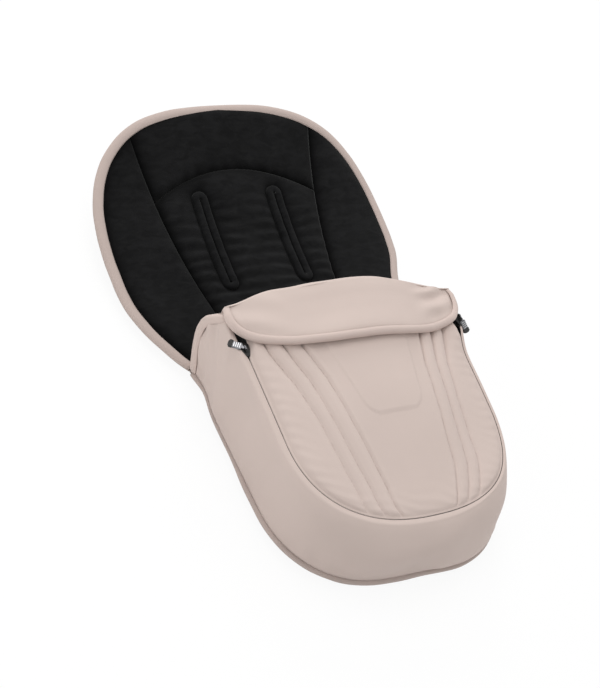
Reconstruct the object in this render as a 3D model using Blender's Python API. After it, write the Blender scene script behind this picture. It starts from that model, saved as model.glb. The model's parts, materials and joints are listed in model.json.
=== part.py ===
"""Stroller footmuff: a padded back, a zipped foot bag and a folding collar.

The back is one long padded liner that curves up towards the head. A walled bag
stands on its foot end, closed by a quilted apron on a zip with two sliders, and
the apron's top edge folds over as a collar. Metres, +Z up, +Y towards the head.
"""

import math

import bmesh
import bpy
from mathutils import Vector

# Pad, measured along it from the foot seam
pad_length = 0.8375
seat_half_width = 0.198
back_half_width = 0.257
foot_round = 0.165
head_round = 0.270
foot_power = 2.25
head_power = 2.88
mouth_run = 0.398
fold_run = 0.457
fold_axis_height = 0.0250
bend_run = 0.505
bend_radius = 0.60

# Layers of the pad, from the floor up
shell_thickness = 0.0025
rim_height = 0.0128
lip_width = 0.011
roll_width = 0.045
wadding_top = 0.0156
liner_low = 0.0161
liner_edge = 0.0030
liner_puff = 0.0050
foot_spine = 0.090

# Zip line round the apron
zip_foot_run = 0.052
zip_round = 0.150
zip_half_width = 0.184
zip_mouth_half_width = 0.188
zip_mouth_run = 0.408
zip_foot_height = 0.110
zip_mouth_height = 0.1497

# Walls of the bag
wall_foot_height = 0.0196
wall_inset = 0.001
wall_outer = 0.0022
wall_wadding = 0.0040
wall_lining = 0.0020
wall_top_clear = 0.0108
wall_top_rise = 0.0012
wall_bow_run = 0.440
wall_bulge = 0.012
mouth_bulge = 0.012
wall_shoulder_share = 0.78
wall_taper_share = 0.45

# Apron
apron_clear = 0.0055
apron_end_run = 0.410
apron_corner_width = 0.139
apron_crown = 0.016
apron_outer = 0.0030
apron_wadding = 0.0040
apron_lining = 0.0020
apron_edge_drop = 0.0015
apron_seam_half = 0.0017
apron_seam_cloth = 0.0015
quilt_depth = 0.0012
quilt_puff = 0.0014
quilt_half_width_share = 0.022
quilt_line_shares = (0.638, 0.749, 0.879)
quilt_spread_power = 2.3

# Collar
collar_near_run = 0.320
collar_sweep = 0.032
collar_corner_width = 0.188
collar_end_width = 0.192
collar_bulge = 0.010
collar_end_run = 0.413
collar_end_set = 0.003
collar_axis_run = 0.4155
collar_rise = 0.0116
collar_outer = 0.0022
collar_wadding = 0.0034
collar_lining = 0.0017

# Bindings and gaps
gap = 0.0005
binding_wall = 0.0012
binding_overhang = 0.0017
collar_binding_depth = 0.0080
mouth_binding_depth = 0.0090
binding_start = 0.0045
piping_overhang = 0.0015
piping_depth = 0.0080

# Seams of the liner
seam_gap = 0.0008
seam_fold_half_width = 0.110
seam_spread_share = 0.157
arch_run = 0.686
arch_rise = 0.056

# Strap slots
slot_half_width = 0.0052
sleeve_wall = 0.0009
sleeve_flange = 0.0060
sleeve_flange_thickness = 0.0012
sleeve_foot = 0.0004
harness_slot_x = 0.0675
harness_slot_run = 0.611
harness_slot_half_length = 0.0795
crotch_slot_run = 0.335
crotch_slot_half_length = 0.0275

# Zip chain, stops and sliders
coil_inner = 0.0010
coil_outer = 0.0032
coil_half_height = 0.0012
tape_outer = 0.0053
apron_tape_outer = 0.0085
tape_half_height = 0.0005
hem_inner = 0.0056
hem_half_height = 0.0012
apron_chain_end_run = 0.325
wall_chain_end_run = 0.368
stop_run = 0.3525
stop_half_length = 0.0030
stop_wall = 0.0006
slider_run = 0.338
slider_half_length = 0.0070
slider_half_width = 0.0046
slider_plate_low = 0.0017
slider_plate = 0.0012
slider_flange = 0.0009
slider_divider_half = 0.0007
slider_divider_length = 0.0040
post_half_length = 0.0010
post_half_width = 0.0012
bar_height = 0.0056
bar_radius = 0.0008
bar_set = 0.0018
pull_eye_inner = 0.0013
pull_eye_outer = 0.0024
pull_eye_half_length = 0.0030
pull_length = 0.026
pull_half_width = 0.0050
pull_half_thickness = 0.0007
pull_slope_share = 0.30

weld_distance = 0.00001


def smooth(share):
    share = min(max(share, 0), 1)
    return share * share * (3 - 2 * share)


def mix(first, second, share):
    return first + (second - first) * share


def mix_pair(first, second, share):
    return (mix(first[0], second[0], share), mix(first[1], second[1], share))


def side_view(run, height):
    """Place along Y and Z of a point at a height square to the pad."""
    angle = max(run - bend_run, 0) / bend_radius
    arm = bend_radius - height
    return min(run, bend_run) + arm * math.sin(angle), bend_radius - arm * math.cos(angle)


head_reach = side_view(pad_length + binding_overhang, rim_height - gap - binding_wall)[0]
middle_run = (head_reach - piping_overhang) / 2


def pad_place(x, run, height):
    y, z = side_view(run, height)
    return Vector((x, y - middle_run, z))


def level_place(x, run, height):
    return Vector((x, run - middle_run, height))


def arc_station(half_width, length, middle, power, share, side):
    """Point and outward direction on a rounded end; share 0 is the side, 1 the centre line."""
    angle = math.pi / 2 * share
    across, along = math.cos(angle), math.sin(angle)
    if share >= 1:
        across = 0
    x = half_width * across ** (2 / power)
    run = middle + side * length * along ** (2 / power)
    lean = (across ** (2 - 2 / power) / half_width, side * along ** (2 - 2 / power) / length)
    size = math.hypot(*lean)
    return (x, run), (lean[0] / size, lean[1] / size)


def flare_width(run):
    share = (run - mouth_run) / (pad_length - head_round - mouth_run)
    return mix(seat_half_width, back_half_width, share * (2 - share))


def foot_stations(count):
    return [
        arc_station(seat_half_width, foot_round, foot_round, foot_power, 1 - step / count, -1)
        for step in range(count)
    ]


def side_stations(count):
    runs = [mix(foot_round, mouth_run, step / count) for step in range(count + 1)]
    return [((seat_half_width, run), (1, 0)) for run in runs]


def flare_stations(start, end, count):
    runs = [mix(start, end, step / count) for step in range(count + 1)]
    return [((flare_width(run), run), (1, 0)) for run in runs]


def head_station(share):
    return arc_station(
        back_half_width, head_round, pad_length - head_round, head_power, share, 1,
    )


def spine_point(point):
    """Point of the centre line that a row of the pad runs in to."""
    run = point[1]
    widest = pad_length - head_round
    if run < foot_round:
        run = mix(foot_spine, foot_round, run / foot_round)
    elif run > widest:
        run = mix(widest, pad_length - foot_spine, (run - widest) / head_round)
    return (0, run)


def step_in(station, inset):
    (x, run), (lean_x, lean_run) = station
    return (x - lean_x * inset, run - lean_run * inset)


def pad_row(station, insets, inner_shares):
    """Plan points from the rim to the centre line."""
    row = [step_in(station, inset) for inset in insets]
    spine = spine_point(station[0])
    return row + [mix_pair(row[-1], spine, share) for share in inner_shares]


def finish(name, color, roughness, metallic):
    material = bpy.data.materials.new(name)
    material.use_nodes = True
    surface = material.node_tree.nodes["Principled BSDF"]
    surface.inputs["Base Color"].default_value = (*color, 1)
    surface.inputs["Roughness"].default_value = roughness
    surface.inputs["Metallic"].default_value = metallic
    return material


def holder(name, place):
    """Empty on a joint's axis that carries the pieces which move together."""
    empty = bpy.data.objects.new(name, None)
    empty.location = place
    bpy.context.collection.objects.link(empty)
    return empty


def piece(name, shape, material, carrier):
    """Named object from a bmesh in world places, hung on its carrier."""
    bmesh.ops.remove_doubles(shape, verts=shape.verts, dist=weld_distance)
    bmesh.ops.dissolve_degenerate(shape, edges=shape.edges, dist=weld_distance)
    bmesh.ops.recalc_face_normals(shape, faces=shape.faces)
    bmesh.ops.translate(shape, verts=shape.verts, vec=-carrier.location)
    mesh = bpy.data.meshes.new(name)
    shape.to_mesh(mesh)
    shape.free()
    mesh.materials.append(material)
    made = bpy.data.objects.new(name, mesh)
    made.parent = carrier
    bpy.context.collection.objects.link(made)
    return made


def add_grid(shape, grid):
    """Quads over a grid of places; returns its vertices."""
    verts = [[shape.verts.new(place) for place in row] for row in grid]
    for row, after in zip(verts, verts[1:]):
        for near in range(len(row) - 1):
            shape.faces.new((row[near], row[near + 1], after[near + 1], after[near]))
    return verts


def on_centre_line(line):
    return all(abs(vert.co.x) < weld_distance for vert in line)


def add_slab(shape, low, high, skip_centre):
    """Closed block between two grids; edges on the centre line stay open to be welded."""
    under, over = add_grid(shape, low), add_grid(shape, high)
    borders = [
        (under[0], over[0]),
        (under[-1], over[-1]),
        ([row[0] for row in under], [row[0] for row in over]),
        ([row[-1] for row in under], [row[-1] for row in over]),
    ]
    for lower, upper in borders:
        if skip_centre and on_centre_line(lower):
            continue
        for near in range(len(lower) - 1):
            shape.faces.new((lower[near], lower[near + 1], upper[near + 1], upper[near]))


def grid_places(rows, heights, place, side):
    return [
        [place(side * x, run, height) for (x, run), height in zip(row, levels)]
        for row, levels in zip(rows, heights)
    ]


def layer(name, rows, low, high, place, material, carrier, sides=(1, -1)):
    """Layer over half plan rows: both halves welded on the centre line, or one side alone."""
    shape = bmesh.new()
    for side in sides:
        lower = grid_places(rows, low, place, side)
        upper = grid_places(rows, high, place, side)
        add_slab(shape, lower, upper, len(sides) > 1)
    return piece(name, shape, material, carrier)


def level_rows(rows, levels):
    """The same height list for every row."""
    return [levels for _ in rows]


def bar(name, rings, material, carrier, closed=False):
    """Solid through like rings; each ring is an outer path and the inner path back."""
    shape = bmesh.new()
    verts = [[shape.verts.new(place) for place in ring] for ring in rings]
    count = len(verts[0])
    pairs = list(zip(verts, verts[1:]))
    if closed:
        pairs.append((verts[-1], verts[0]))
    for ring, after in pairs:
        for near in range(count):
            far = (near + 1) % count
            shape.faces.new((ring[near], ring[far], after[far], after[near]))
    if not closed:
        for ring in (verts[0], verts[-1]):
            for near in range(count // 2 - 1):
                shape.faces.new((ring[near], ring[near + 1], ring[-2 - near], ring[-1 - near]))
    return piece(name, shape, material, carrier)


def cut(target, cutter):
    """Cut a hidden guide out of a piece."""
    cutter.hide_render = True
    cutter.display_type = "WIRE"
    cutter.hide_set(True)
    slot = target.modifiers.new(cutter.name, "BOOLEAN")
    slot.operation = "DIFFERENCE"
    slot.solver = "EXACT"
    slot.object = cutter


for item in list(bpy.data.objects):
    bpy.data.objects.remove(item, do_unlink=True)

cloth = finish("blush_cloth", (0.61, 0.50, 0.455), 0.85, 0)
piping_cloth = finish("blush_binding", (0.56, 0.455, 0.415), 0.80, 0)
plush = finish("black_plush", (0.012, 0.012, 0.013), 0.95, 0)
fill = finish("white_wadding", (0.85, 0.85, 0.83), 1.0, 0)
lining_cloth = finish("dark_lining", (0.03, 0.03, 0.032), 0.9, 0)
zip_nylon = finish("zip_nylon", (0.02, 0.02, 0.02), 0.5, 0)
slider_black = finish("slider_black", (0.015, 0.015, 0.015), 0.35, 0.6)
pull_silver = finish("pull_silver", (0.62, 0.62, 0.63), 0.3, 1.0)

zip_slope_share = (zip_mouth_height - zip_foot_height) / (zip_mouth_run - zip_foot_run)


def zip_height(run):
    return zip_foot_height + (run - zip_foot_run) * zip_slope_share


base = holder("footmuff", Vector((0, 0, 0)))
back_hinge = holder("back_hinge", pad_place(0, fold_run, fold_axis_height))
apron_axis_height = zip_foot_height + wall_top_rise + coil_half_height + apron_outer * 0.7
apron_hinge = holder("apron_hinge", level_place(0, zip_foot_run, apron_axis_height))
collar_axis_height = zip_height(collar_end_run) + apron_crown + collar_rise - collar_wadding
collar_hinge = holder("collar_hinge", level_place(0, collar_axis_run, collar_axis_height))

# Pad shell and wadding, one pair under the seat and one behind the back
roll_shares = (0, 0.2, 0.45, 0.7, 1)
rim_insets = [0] + [lip_width + roll_width * share for share in roll_shares]
inner_shares = (0.5, 1)
fold_half_gap = gap / 2
seat_stations = foot_stations(7) + side_stations(5)
seat_stations += flare_stations(mouth_run, fold_run - fold_half_gap, 2)[1:]
widest_run = pad_length - head_round


def seam_x(run):
    return seam_fold_half_width + (run - fold_run) * seam_spread_share


def arch_at(x):
    return arch_run + arch_rise * (1 - (x / seam_x(arch_run)) ** 2)


def seam_share():
    """Share of the head round at which the side seam meets the rim, by halving."""
    low, high = 0, 1
    while high - low > weld_distance:
        share = (low + high) / 2
        point = head_station(share)[0]
        if point[0] > seam_x(point[1]):
            low = share
        else:
            high = share
    return low


seam_meets = seam_share()
side_turns = [seam_meets * share for share in (0.035, 0.1, 0.22, 0.4, 0.6, 0.8, 0.97)]
head_turns = [mix(seam_meets, 1, share) for share in (0, 0.2, 0.4, 0.6, 0.8, 0.9, 0.97, 1)]
back_stations = flare_stations(fold_run + fold_half_gap, widest_run, 5)
back_stations += [head_station(turn) for turn in side_turns + head_turns]

shell_low = [rim_height] + [rim_height * (1 - smooth(share)) for share in roll_shares]
shell_low += [0 for _ in inner_shares]
shell_high = [height + shell_thickness for height in shell_low]
wadding_low = [height + gap for height in shell_high[2:]]
wadding_high = [wadding_top for _ in wadding_low]


def pad_layers(prefix, stations, carrier):
    rows = [pad_row(station, rim_insets, inner_shares) for station in stations]
    shell = layer(
        prefix + "_shell", rows, level_rows(rows, shell_low), level_rows(rows, shell_high),
        pad_place, cloth, carrier,
    )
    inner = [row[2:] for row in rows]
    wadding = layer(
        prefix + "_wadding", inner, level_rows(inner, wadding_low),
        level_rows(inner, wadding_high), pad_place, fill, carrier,
    )
    return shell, wadding


seat_shell, seat_wadding = pad_layers("seat", seat_stations, base)
back_shell, back_wadding = pad_layers("back", back_stations, back_hinge)

# Plush liner of the seat, inside the bag walls and out to the binding at the mouth
liner_high_share = (0, 0, 0.45, 0.85, 1, 1, 1)
liner_top = liner_low + liner_edge + liner_puff
wall_clear = wall_inset + wall_outer + wall_wadding + wall_lining + 4 * gap + binding_wall


def seat_liner_row(station):
    start = wall_clear if station[0][1] <= mouth_run else 0
    steps = (0, lip_width, lip_width + roll_width * 0.4, lip_width + roll_width)
    insets = [max(start, step) + weld_distance * place for place, step in enumerate(steps)]
    insets[1] = insets[0] + lip_width
    return pad_row(station, insets, (0.3, 0.6, 1))


seat_rows = [seat_liner_row(station) for station in seat_stations]
seat_levels = [liner_low + liner_edge + liner_puff * share for share in liner_high_share]
seat_liner = layer(
    "seat_liner", seat_rows, level_rows(seat_rows, [liner_low] * len(seat_levels)),
    level_rows(seat_rows, seat_levels), pad_place, plush, base,
)


across_shares = (0.08, 0.25, 0.5, 0.75, 0.92, 1)
puff_shares = (0, 0, 0.55, 0.95, 1, 0.75, 0.3, 0)


def liner_row(station, inner_point):
    """Liner points from the rim over its lip to a seam."""
    edge, lip = step_in(station, 0), step_in(station, lip_width)
    if math.dist(edge, inner_point) < 3 * lip_width:
        lip = mix_pair(edge, inner_point, 1 / 3)
    return [edge, lip] + [mix_pair(lip, inner_point, share) for share in across_shares]


def puffed(rows, puff_list, row_shares, under_binding):
    """Top heights of a liner panel, drawn down at its seams and flat under the binding."""
    edge = liner_low + liner_edge
    levels = []
    for row, share in zip(rows, row_shares):
        covered = [under_binding and math.dist(row[0], point) < lip_width * 1.2 for point in row]
        levels.append([
            edge + (0 if hidden else liner_puff * puff * share)
            for hidden, puff in zip(covered, puff_list)
        ])
    return levels


# Side panels of the liner, between the rim and the long seams
side_rows = []
for station in flare_stations(fold_run + fold_half_gap, widest_run, 5):
    seam_run = station[0][1]
    side_rows.append(liner_row(station, (seam_x(seam_run) + seam_gap / 2, seam_run)))
tip_run = head_station(seam_meets)[0][1]
for turn in side_turns:
    seam_run = mix(widest_run, tip_run, turn / seam_meets)
    inner_point = (seam_x(seam_run) + seam_gap / 2, seam_run)
    side_rows.append(liner_row(head_station(turn), inner_point))
side_row_shares = [1] * (len(side_rows) - 3) + [0.7, 0, 0]
side_low = level_rows(side_rows, [liner_low] * len(puff_shares))
for label, side in (("left", -1), ("right", 1)):
    layer(
        "side_liner_" + label, side_rows, side_low,
        puffed(side_rows, puff_shares, side_row_shares, True), pad_place, plush, back_hinge, (side,),
    )

# Head panel of the liner, above the arched seam
head_rows = []
for turn in head_turns:
    (x, run), lean = head_station(turn)
    x = min(x, seam_x(run) - seam_gap / 2)
    arch_x = seam_x(arch_run) * x / (seam_x(tip_run) - seam_gap / 2)
    arch_x = min(arch_x, seam_x(arch_run) - seam_gap / 2)
    lip = (x - max(lean[0], 0) * lip_width, run - lean[1] * lip_width)
    if turn == head_turns[0]:
        lip = (seam_x(run - lip_width) - seam_gap / 2, run - lip_width)
    arch_point = (arch_x, arch_at(arch_x) + seam_gap / 2)
    head_rows.append(
        [(x, run), lip] + [mix_pair(lip, arch_point, share) for share in across_shares]
    )
head_row_shares = [0, 0.5, 0.85] + [1] * (len(head_rows) - 3)
layer(
    "head_liner", head_rows, level_rows(head_rows, [liner_low] * len(puff_shares)),
    puffed(head_rows, puff_shares, head_row_shares, True), pad_place, plush, back_hinge,
)

# Centre panel of the liner, with the harness slots through it
centre_across = (0, 0.25, 0.5, 0.72, 0.86, 0.95, 1)
centre_puffs = (1, 1, 1, 1, 0.75, 0.35, 0)
centre_along = (0, 0.17, 0.34, 0.51, 0.68, 0.82, 0.9, 0.96, 1)
centre_row_shares = (1, 1, 1, 1, 1, 1, 0.85, 0.45, 0)
centre_rows = []
for along in centre_along:
    row = []
    for across in centre_across:
        low = (across * (seam_x(fold_run) - seam_gap / 2), fold_run + fold_half_gap)
        top_x = across * (seam_x(arch_run) - seam_gap / 2)
        row.append(mix_pair(low, (top_x, arch_at(top_x) - seam_gap / 2), along))
    centre_rows.append(row)
centre_liner = layer(
    "centre_liner", centre_rows, level_rows(centre_rows, [liner_low] * len(centre_puffs)),
    puffed(centre_rows, centre_puffs, centre_row_shares, False), pad_place, plush, back_hinge,
)


def slot_loop(middle, half_length, half_width, along_pad):
    """Round-ended loop of plan points round a strap slot."""
    corner_shares = (0, 0.5, 1)
    loop = []
    for quarter in range(4):
        for share in corner_shares:
            angle = math.pi / 2 * (quarter + share)
            reach = half_length - half_width
            end = reach if quarter in (0, 3) else -reach
            long = end + half_width * math.cos(angle)
            wide = half_width * math.sin(angle)
            step = (wide, long) if along_pad else (long, wide)
            loop.append((middle[0] + step[0], middle[1] + step[1]))
    return loop


def slot_cutter(name, middle, half_length, along_pad, carrier):
    depth = liner_top + sleeve_flange
    loop = slot_loop(middle, half_length, slot_half_width, along_pad)
    shape = bmesh.new()
    rings = [[shape.verts.new(pad_place(*point, height)) for point in loop]
             for height in (-sleeve_flange, depth)]
    for near in range(len(loop)):
        far = (near + 1) % len(loop)
        shape.faces.new((rings[0][near], rings[0][far], rings[1][far], rings[1][near]))
    shape.faces.new(rings[0])
    shape.faces.new(rings[1])
    return piece(name, shape, fill, carrier)


def slot_sleeve(name, middle, half_length, along_pad, carrier):
    """Bound edge of a strap slot: a throat through the pad and a flat flange on the liner."""
    outer = slot_half_width - gap + sleeve_wall / 4
    inner = outer - sleeve_wall
    flange = slot_half_width + sleeve_flange
    flange_low = liner_top + gap
    flange_high = flange_low + sleeve_flange_thickness
    section = (
        (inner, sleeve_foot), (inner, flange_high), (flange, flange_high),
        (flange, flange_low), (outer, flange_low), (outer, sleeve_foot),
    )
    reach = half_length - slot_half_width
    rings = []
    loops = [
        slot_loop(middle, reach + width, width, along_pad) for width, _ in section
    ]
    for near in range(len(loops[0])):
        rings.append([
            pad_place(*loop[near], height) for loop, (_, height) in zip(loops, section)
        ])
    return bar(name, rings, plush, carrier, closed=True)


for label, side in (("left", -1), ("right", 1)):
    middle = (side * harness_slot_x, harness_slot_run)
    guide = slot_cutter(
        "harness_guide_" + label, middle, harness_slot_half_length, True, back_hinge,
    )
    for target in (back_shell, back_wadding, centre_liner):
        cut(target, guide)
    slot_sleeve(
        "harness_slot_binding_" + label, middle, harness_slot_half_length, True, back_hinge,
    )
crotch_middle = (0, crotch_slot_run)
guide = slot_cutter("crotch_guide", crotch_middle, crotch_slot_half_length, False, base)
for target in (seat_shell, seat_wadding, seat_liner):
    cut(target, guide)
slot_sleeve("crotch_slot_binding", crotch_middle, crotch_slot_half_length, False, base)


def rim_ring(station, side):
    """Folded binding round the pad's edge: shell lip below, liner lip above."""
    low, high = rim_height - gap, liner_low + liner_edge + gap
    section = (
        (lip_width, low - binding_wall), (-binding_overhang, low - binding_wall),
        (-binding_overhang, high + binding_wall), (lip_width, high + binding_wall),
        (lip_width, high), (-gap, high), (-gap, low), (lip_width, low),
    )
    return [
        pad_place(side * step_in(station, inset)[0], step_in(station, inset)[1], height)
        for inset, height in section
    ]


# Binding round the head, and short lengths at the mouth of the bag
upper_rings = [rim_ring(station, 1) for station in back_stations[:-1]]
upper_rings += [rim_ring(back_stations[-1], 1)]
upper_rings += [rim_ring(station, -1) for station in reversed(back_stations[:-1])]
bar("head_binding", upper_rings, piping_cloth, back_hinge)
seat_edge = flare_stations(mouth_run + binding_start, fold_run - fold_half_gap, 3)
for label, side in (("left", -1), ("right", 1)):
    rings = [rim_ring(station, side) for station in seat_edge]
    bar("seat_binding_" + label, rings, piping_cloth, base)

# Piping in the seam between the pad and the bag wall
wall_stations = foot_stations(8) + side_stations(6)
piping_low = rim_height + shell_thickness + gap
piping_high = wall_foot_height - gap


def piping_ring(station, side):
    middle_height = (piping_low + piping_high) / 2
    nose = -piping_overhang
    bevel = piping_overhang / 2
    section = (
        (piping_depth, piping_low), (nose + bevel, piping_low), (nose, middle_height - bevel),
        (nose, middle_height + bevel), (nose + bevel, piping_high), (piping_depth, piping_high),
    )
    return [
        pad_place(side * step_in(station, inset)[0], step_in(station, inset)[1], height)
        for inset, height in section
    ]


def round_the_foot(stations, ring):
    """Rings from the left end round the foot to the right end."""
    rings = [ring(station, -1) for station in reversed(stations[1:])]
    return rings + [ring(station, 1) for station in stations]


bar("base_piping", round_the_foot(wall_stations, piping_ring), piping_cloth, base)


def zip_station(share, side_part):
    """Point and outward direction on the zip line; the side part runs to the mouth."""
    middle = zip_foot_run + zip_round
    if side_part:
        point = (mix(zip_half_width, zip_mouth_half_width, share), mix(middle, zip_mouth_run, share))
        rise, reach = zip_mouth_half_width - zip_half_width, zip_mouth_run - middle
        size = math.hypot(rise, reach)
        return point, (reach / size, -rise / size)
    return arc_station(zip_half_width, zip_round, middle, foot_power, 1 - share, -1)


def bow(first, middle, last, share):
    """Point of a bow through three places."""
    rest = 1 - share
    return first * rest * rest + middle * 2 * rest * share + last * share * share


def wall_section(base_station, top_station, bulge, bow_run, shares):
    """Outer line of the bag wall from the base seam to the zip."""
    foot = step_in(base_station, wall_inset)
    top = step_in(top_station, -wall_top_clear)
    top_height = zip_height(top_station[0][1]) + wall_top_rise
    lean_x, lean_run = base_station[1]
    belly_x = foot[0] + lean_x * bulge
    belly_height = mix(wall_foot_height, top_height, wall_shoulder_share)
    return [
        (
            bow(foot[0], belly_x, top[0], share), bow(foot[1], bow_run, top[1], share),
            bow(wall_foot_height, belly_height, top_height, share),
        )
        for share in shares
    ]


wall_shares = (0, 0.12, 0.26, 0.42, 0.58, 0.72, 0.84, 0.93, 1)
wall_foot_count, wall_side_count = 8, 5


def wall_at(step, shares=wall_shares):
    """Section, outward direction and share towards the mouth at a step round the wall."""
    if step < wall_foot_count:
        share = step / wall_foot_count
        base_station = foot_stations(wall_foot_count)[int(step)]
        top_station = zip_station(share, False)
        bulge = wall_bulge * share
        bow_run = base_station[0][1] + wall_inset * (1 - share)
        return wall_section(base_station, top_station, bulge, bow_run, shares), base_station[1]
    share = (step - wall_foot_count) / wall_side_count
    base_station = ((seat_half_width, mix(foot_round, mouth_run, share)), (1, 0))
    top_station = zip_station(share, True)
    top_station = (top_station[0], (1, 0))
    bulge = mix(wall_bulge, mouth_bulge, share)
    bow_run = mix(foot_round, wall_bow_run, share)
    return wall_section(base_station, top_station, bulge, bow_run, shares), base_station[1]


def taper(share):
    """Layers thin out towards the zip seam."""
    return mix(1, wall_taper_share, smooth((share - 0.6) / 0.4))


def wall_depth(share, layers):
    """Depth into the wall below a number of its layers."""
    thicknesses = (wall_outer, wall_wadding, wall_lining)[:layers]
    return sum(thicknesses) * taper(share) + gap * layers


def wall_ring(step, side, layers):
    section, lean = wall_at(step)
    faces = []
    for share, (x, run, height) in zip(wall_shares, section):
        near = wall_depth(share, layers)
        far = wall_depth(share, layers + 1) - gap
        faces.append([
            level_place(side * (x - lean[0] * depth), run - lean[1] * depth, height)
            for depth in (near, far)
        ])
    return [face[0] for face in faces] + [face[1] for face in reversed(faces)]


wall_steps = range(wall_foot_count + wall_side_count + 1)
for number, (name, material) in enumerate((
    ("wall_outer", cloth), ("wall_wadding", fill), ("wall_lining", lining_cloth),
)):
    rings = [wall_ring(step, -1, number) for step in reversed(wall_steps[1:])]
    rings += [wall_ring(step, 1, number) for step in wall_steps]
    bar(name, rings, material, base)

# Folded binding on each upright edge of the bag's mouth
last_step = wall_foot_count + wall_side_count
side_length = mouth_run - foot_round
back_step = last_step - wall_side_count * mouth_binding_depth / side_length


def mouth_ring(place, side):
    """Ring of the mouth binding at one height of the wall's edge."""
    share = wall_shares[place]
    (x, run, height), (back_x, back_run, back_height) = (
        wall_at(last_step)[0][place], wall_at(back_step)[0][place],
    )
    depth = wall_depth(share, 3) - gap
    wide = gap + binding_wall
    section = (
        (back_x + wide, back_run, back_height), (x + wide, run + wide, height),
        (x - depth - wide, run + wide, height), (back_x - depth - wide, back_run, back_height),
        (back_x - depth - gap, back_run, back_height), (x - depth - gap, run + gap, height),
        (x + gap, run + gap, height), (back_x + gap, back_run, back_height),
    )
    return [level_place(side * point[0], point[1], point[2]) for point in section]


for label, side in (("left", -1), ("right", 1)):
    rings = [mouth_ring(place, side) for place in range(len(wall_shares))]
    bar("mouth_binding_" + label, rings, piping_cloth, base)


# Apron: lining, wadding and a quilted outer over the same crowned plan
zip_centre_run = zip_foot_run + zip_round


def apron_edge_width(run):
    """Half width of the apron at a distance along the bag."""
    if run < zip_centre_run:
        share = (zip_centre_run - run) / (zip_round - apron_clear)
        return (zip_half_width - apron_clear) * (1 - share ** foot_power) ** (1 / foot_power)
    share = (run - zip_centre_run) / (zip_mouth_run - zip_centre_run)
    return mix(zip_half_width, zip_mouth_half_width, share) - apron_clear


def apron_foot_run(x):
    share = x / (zip_half_width - apron_clear)
    return zip_centre_run - (zip_round - apron_clear) * (1 - share ** foot_power) ** (1 / foot_power)


def patch(bottom, top, left, right, across, along):
    """Point of a patch stretched between four edge curves."""
    ruled = mix_pair(bottom(across), top(across), along)
    lofted = mix_pair(left(along), right(along), across)
    flat = mix_pair(
        mix_pair(bottom(0), bottom(1), across), mix_pair(top(0), top(1), across), along,
    )
    return (ruled[0] + lofted[0] - flat[0], ruled[1] + lofted[1] - flat[1])


def apron_point(across, along):
    corner_run = apron_foot_run(apron_corner_width)

    def foot_edge(share):
        x = apron_corner_width * share ** quilt_spread_power
        return (x, apron_foot_run(x))

    def mouth_edge(share):
        return (share * apron_edge_width(apron_end_run), apron_end_run)

    def middle(share):
        return (0, mix(apron_foot_run(0), apron_end_run, share))

    def side_edge(share):
        run = mix(corner_run, apron_end_run, share)
        return (apron_edge_width(run), run)

    return patch(foot_edge, mouth_edge, middle, side_edge, across, along)


def crown(across, along):
    return apron_crown * (1 - across ** 2.2) * smooth(along / 0.55)


plain_shares = (0, 0.2, 0.4, 0.55, 0.69, 0.81, 0.94, 1)
quilt_shares = []
for line in quilt_line_shares:
    quilt_shares += [line - quilt_half_width_share, line, line + quilt_half_width_share]
outer_shares = sorted(plain_shares + tuple(quilt_shares))
along_shares = (0, 0.05, 0.14, 0.26, 0.4, 0.55, 0.7, 0.85, 1)


def quilting(across, along):
    """Height of the quilted face over the plain one."""
    if along in (0, 1):
        return -apron_edge_drop
    nearest = min(abs(across - line) for line in quilt_line_shares)
    if across > quilt_line_shares[0] - 2 * quilt_half_width_share:
        return quilt_puff * smooth(nearest / quilt_half_width_share / 2) - quilt_depth
    return 0


def apron_layer(name, shares, lines, low, high, seam, material, quilted):
    """Apron layer between two heights; its sewn edge is drawn in to the seam heights."""
    rows = [[apron_point(across, along) for across in shares] for along in lines]
    lower, upper = [], []
    for along, row in zip(lines, rows):
        under, over = [], []
        for across, (_, run) in zip(shares, row):
            flat = zip_height(run) + crown(across, along)
            sewn = across >= 1 or along <= 0
            under.append(flat + (seam[0] if sewn else low))
            puff = quilting(across, along) if quilted and across > 0 else 0
            over.append(flat + (seam[1] if sewn else high + puff))
        lower.append(under)
        upper.append(over)
    return layer(name, rows, lower, upper, level_place, material, apron_hinge)


half_fill = apron_wadding / 2
seam_high = apron_seam_half + apron_seam_cloth
apron_layer(
    "apron_lining", plain_shares, along_shares, -half_fill - gap - apron_lining,
    -half_fill - gap, (-seam_high, -apron_seam_half), lining_cloth, False,
)
apron_layer(
    "apron_wadding", plain_shares[:-1], along_shares[1:], -half_fill, half_fill,
    (-half_fill, half_fill), fill, False,
)
apron_layer(
    "apron_outer", outer_shares, along_shares, half_fill + gap,
    half_fill + gap + apron_outer, (apron_seam_half, seam_high), cloth, True,
)

# Collar: the folded-over top edge of the apron, in three layers with a bound edge
def collar_point(across, along):
    def near_edge(share):
        return (collar_corner_width * share, collar_near_run + collar_sweep * share ** 3)

    def fold_edge(share):
        return (collar_end_width * share, collar_end_run - collar_end_set * share ** 2)

    def middle(share):
        return (0, mix(collar_near_run, collar_end_run, share))

    def side_edge(share):
        straight = mix_pair(near_edge(1), fold_edge(1), share)
        return (straight[0] + collar_bulge * math.sin(math.pi * share), straight[1])

    return patch(near_edge, fold_edge, middle, side_edge, across, along)


def collar_height(x, run):
    share = min(abs(x) / apron_edge_width(run), 1)
    return zip_height(run) + apron_crown * (1 - share ** 2.2) + collar_rise


collar_across = (0, 0.2, 0.4, 0.6, 0.78, 0.9, 1)
collar_along = (0, 0.12, 0.35, 0.6, 0.85, 1)
collar_rows = [[collar_point(across, along) for across in collar_across] for along in collar_along]
collar_half = collar_wadding / 2


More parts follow.
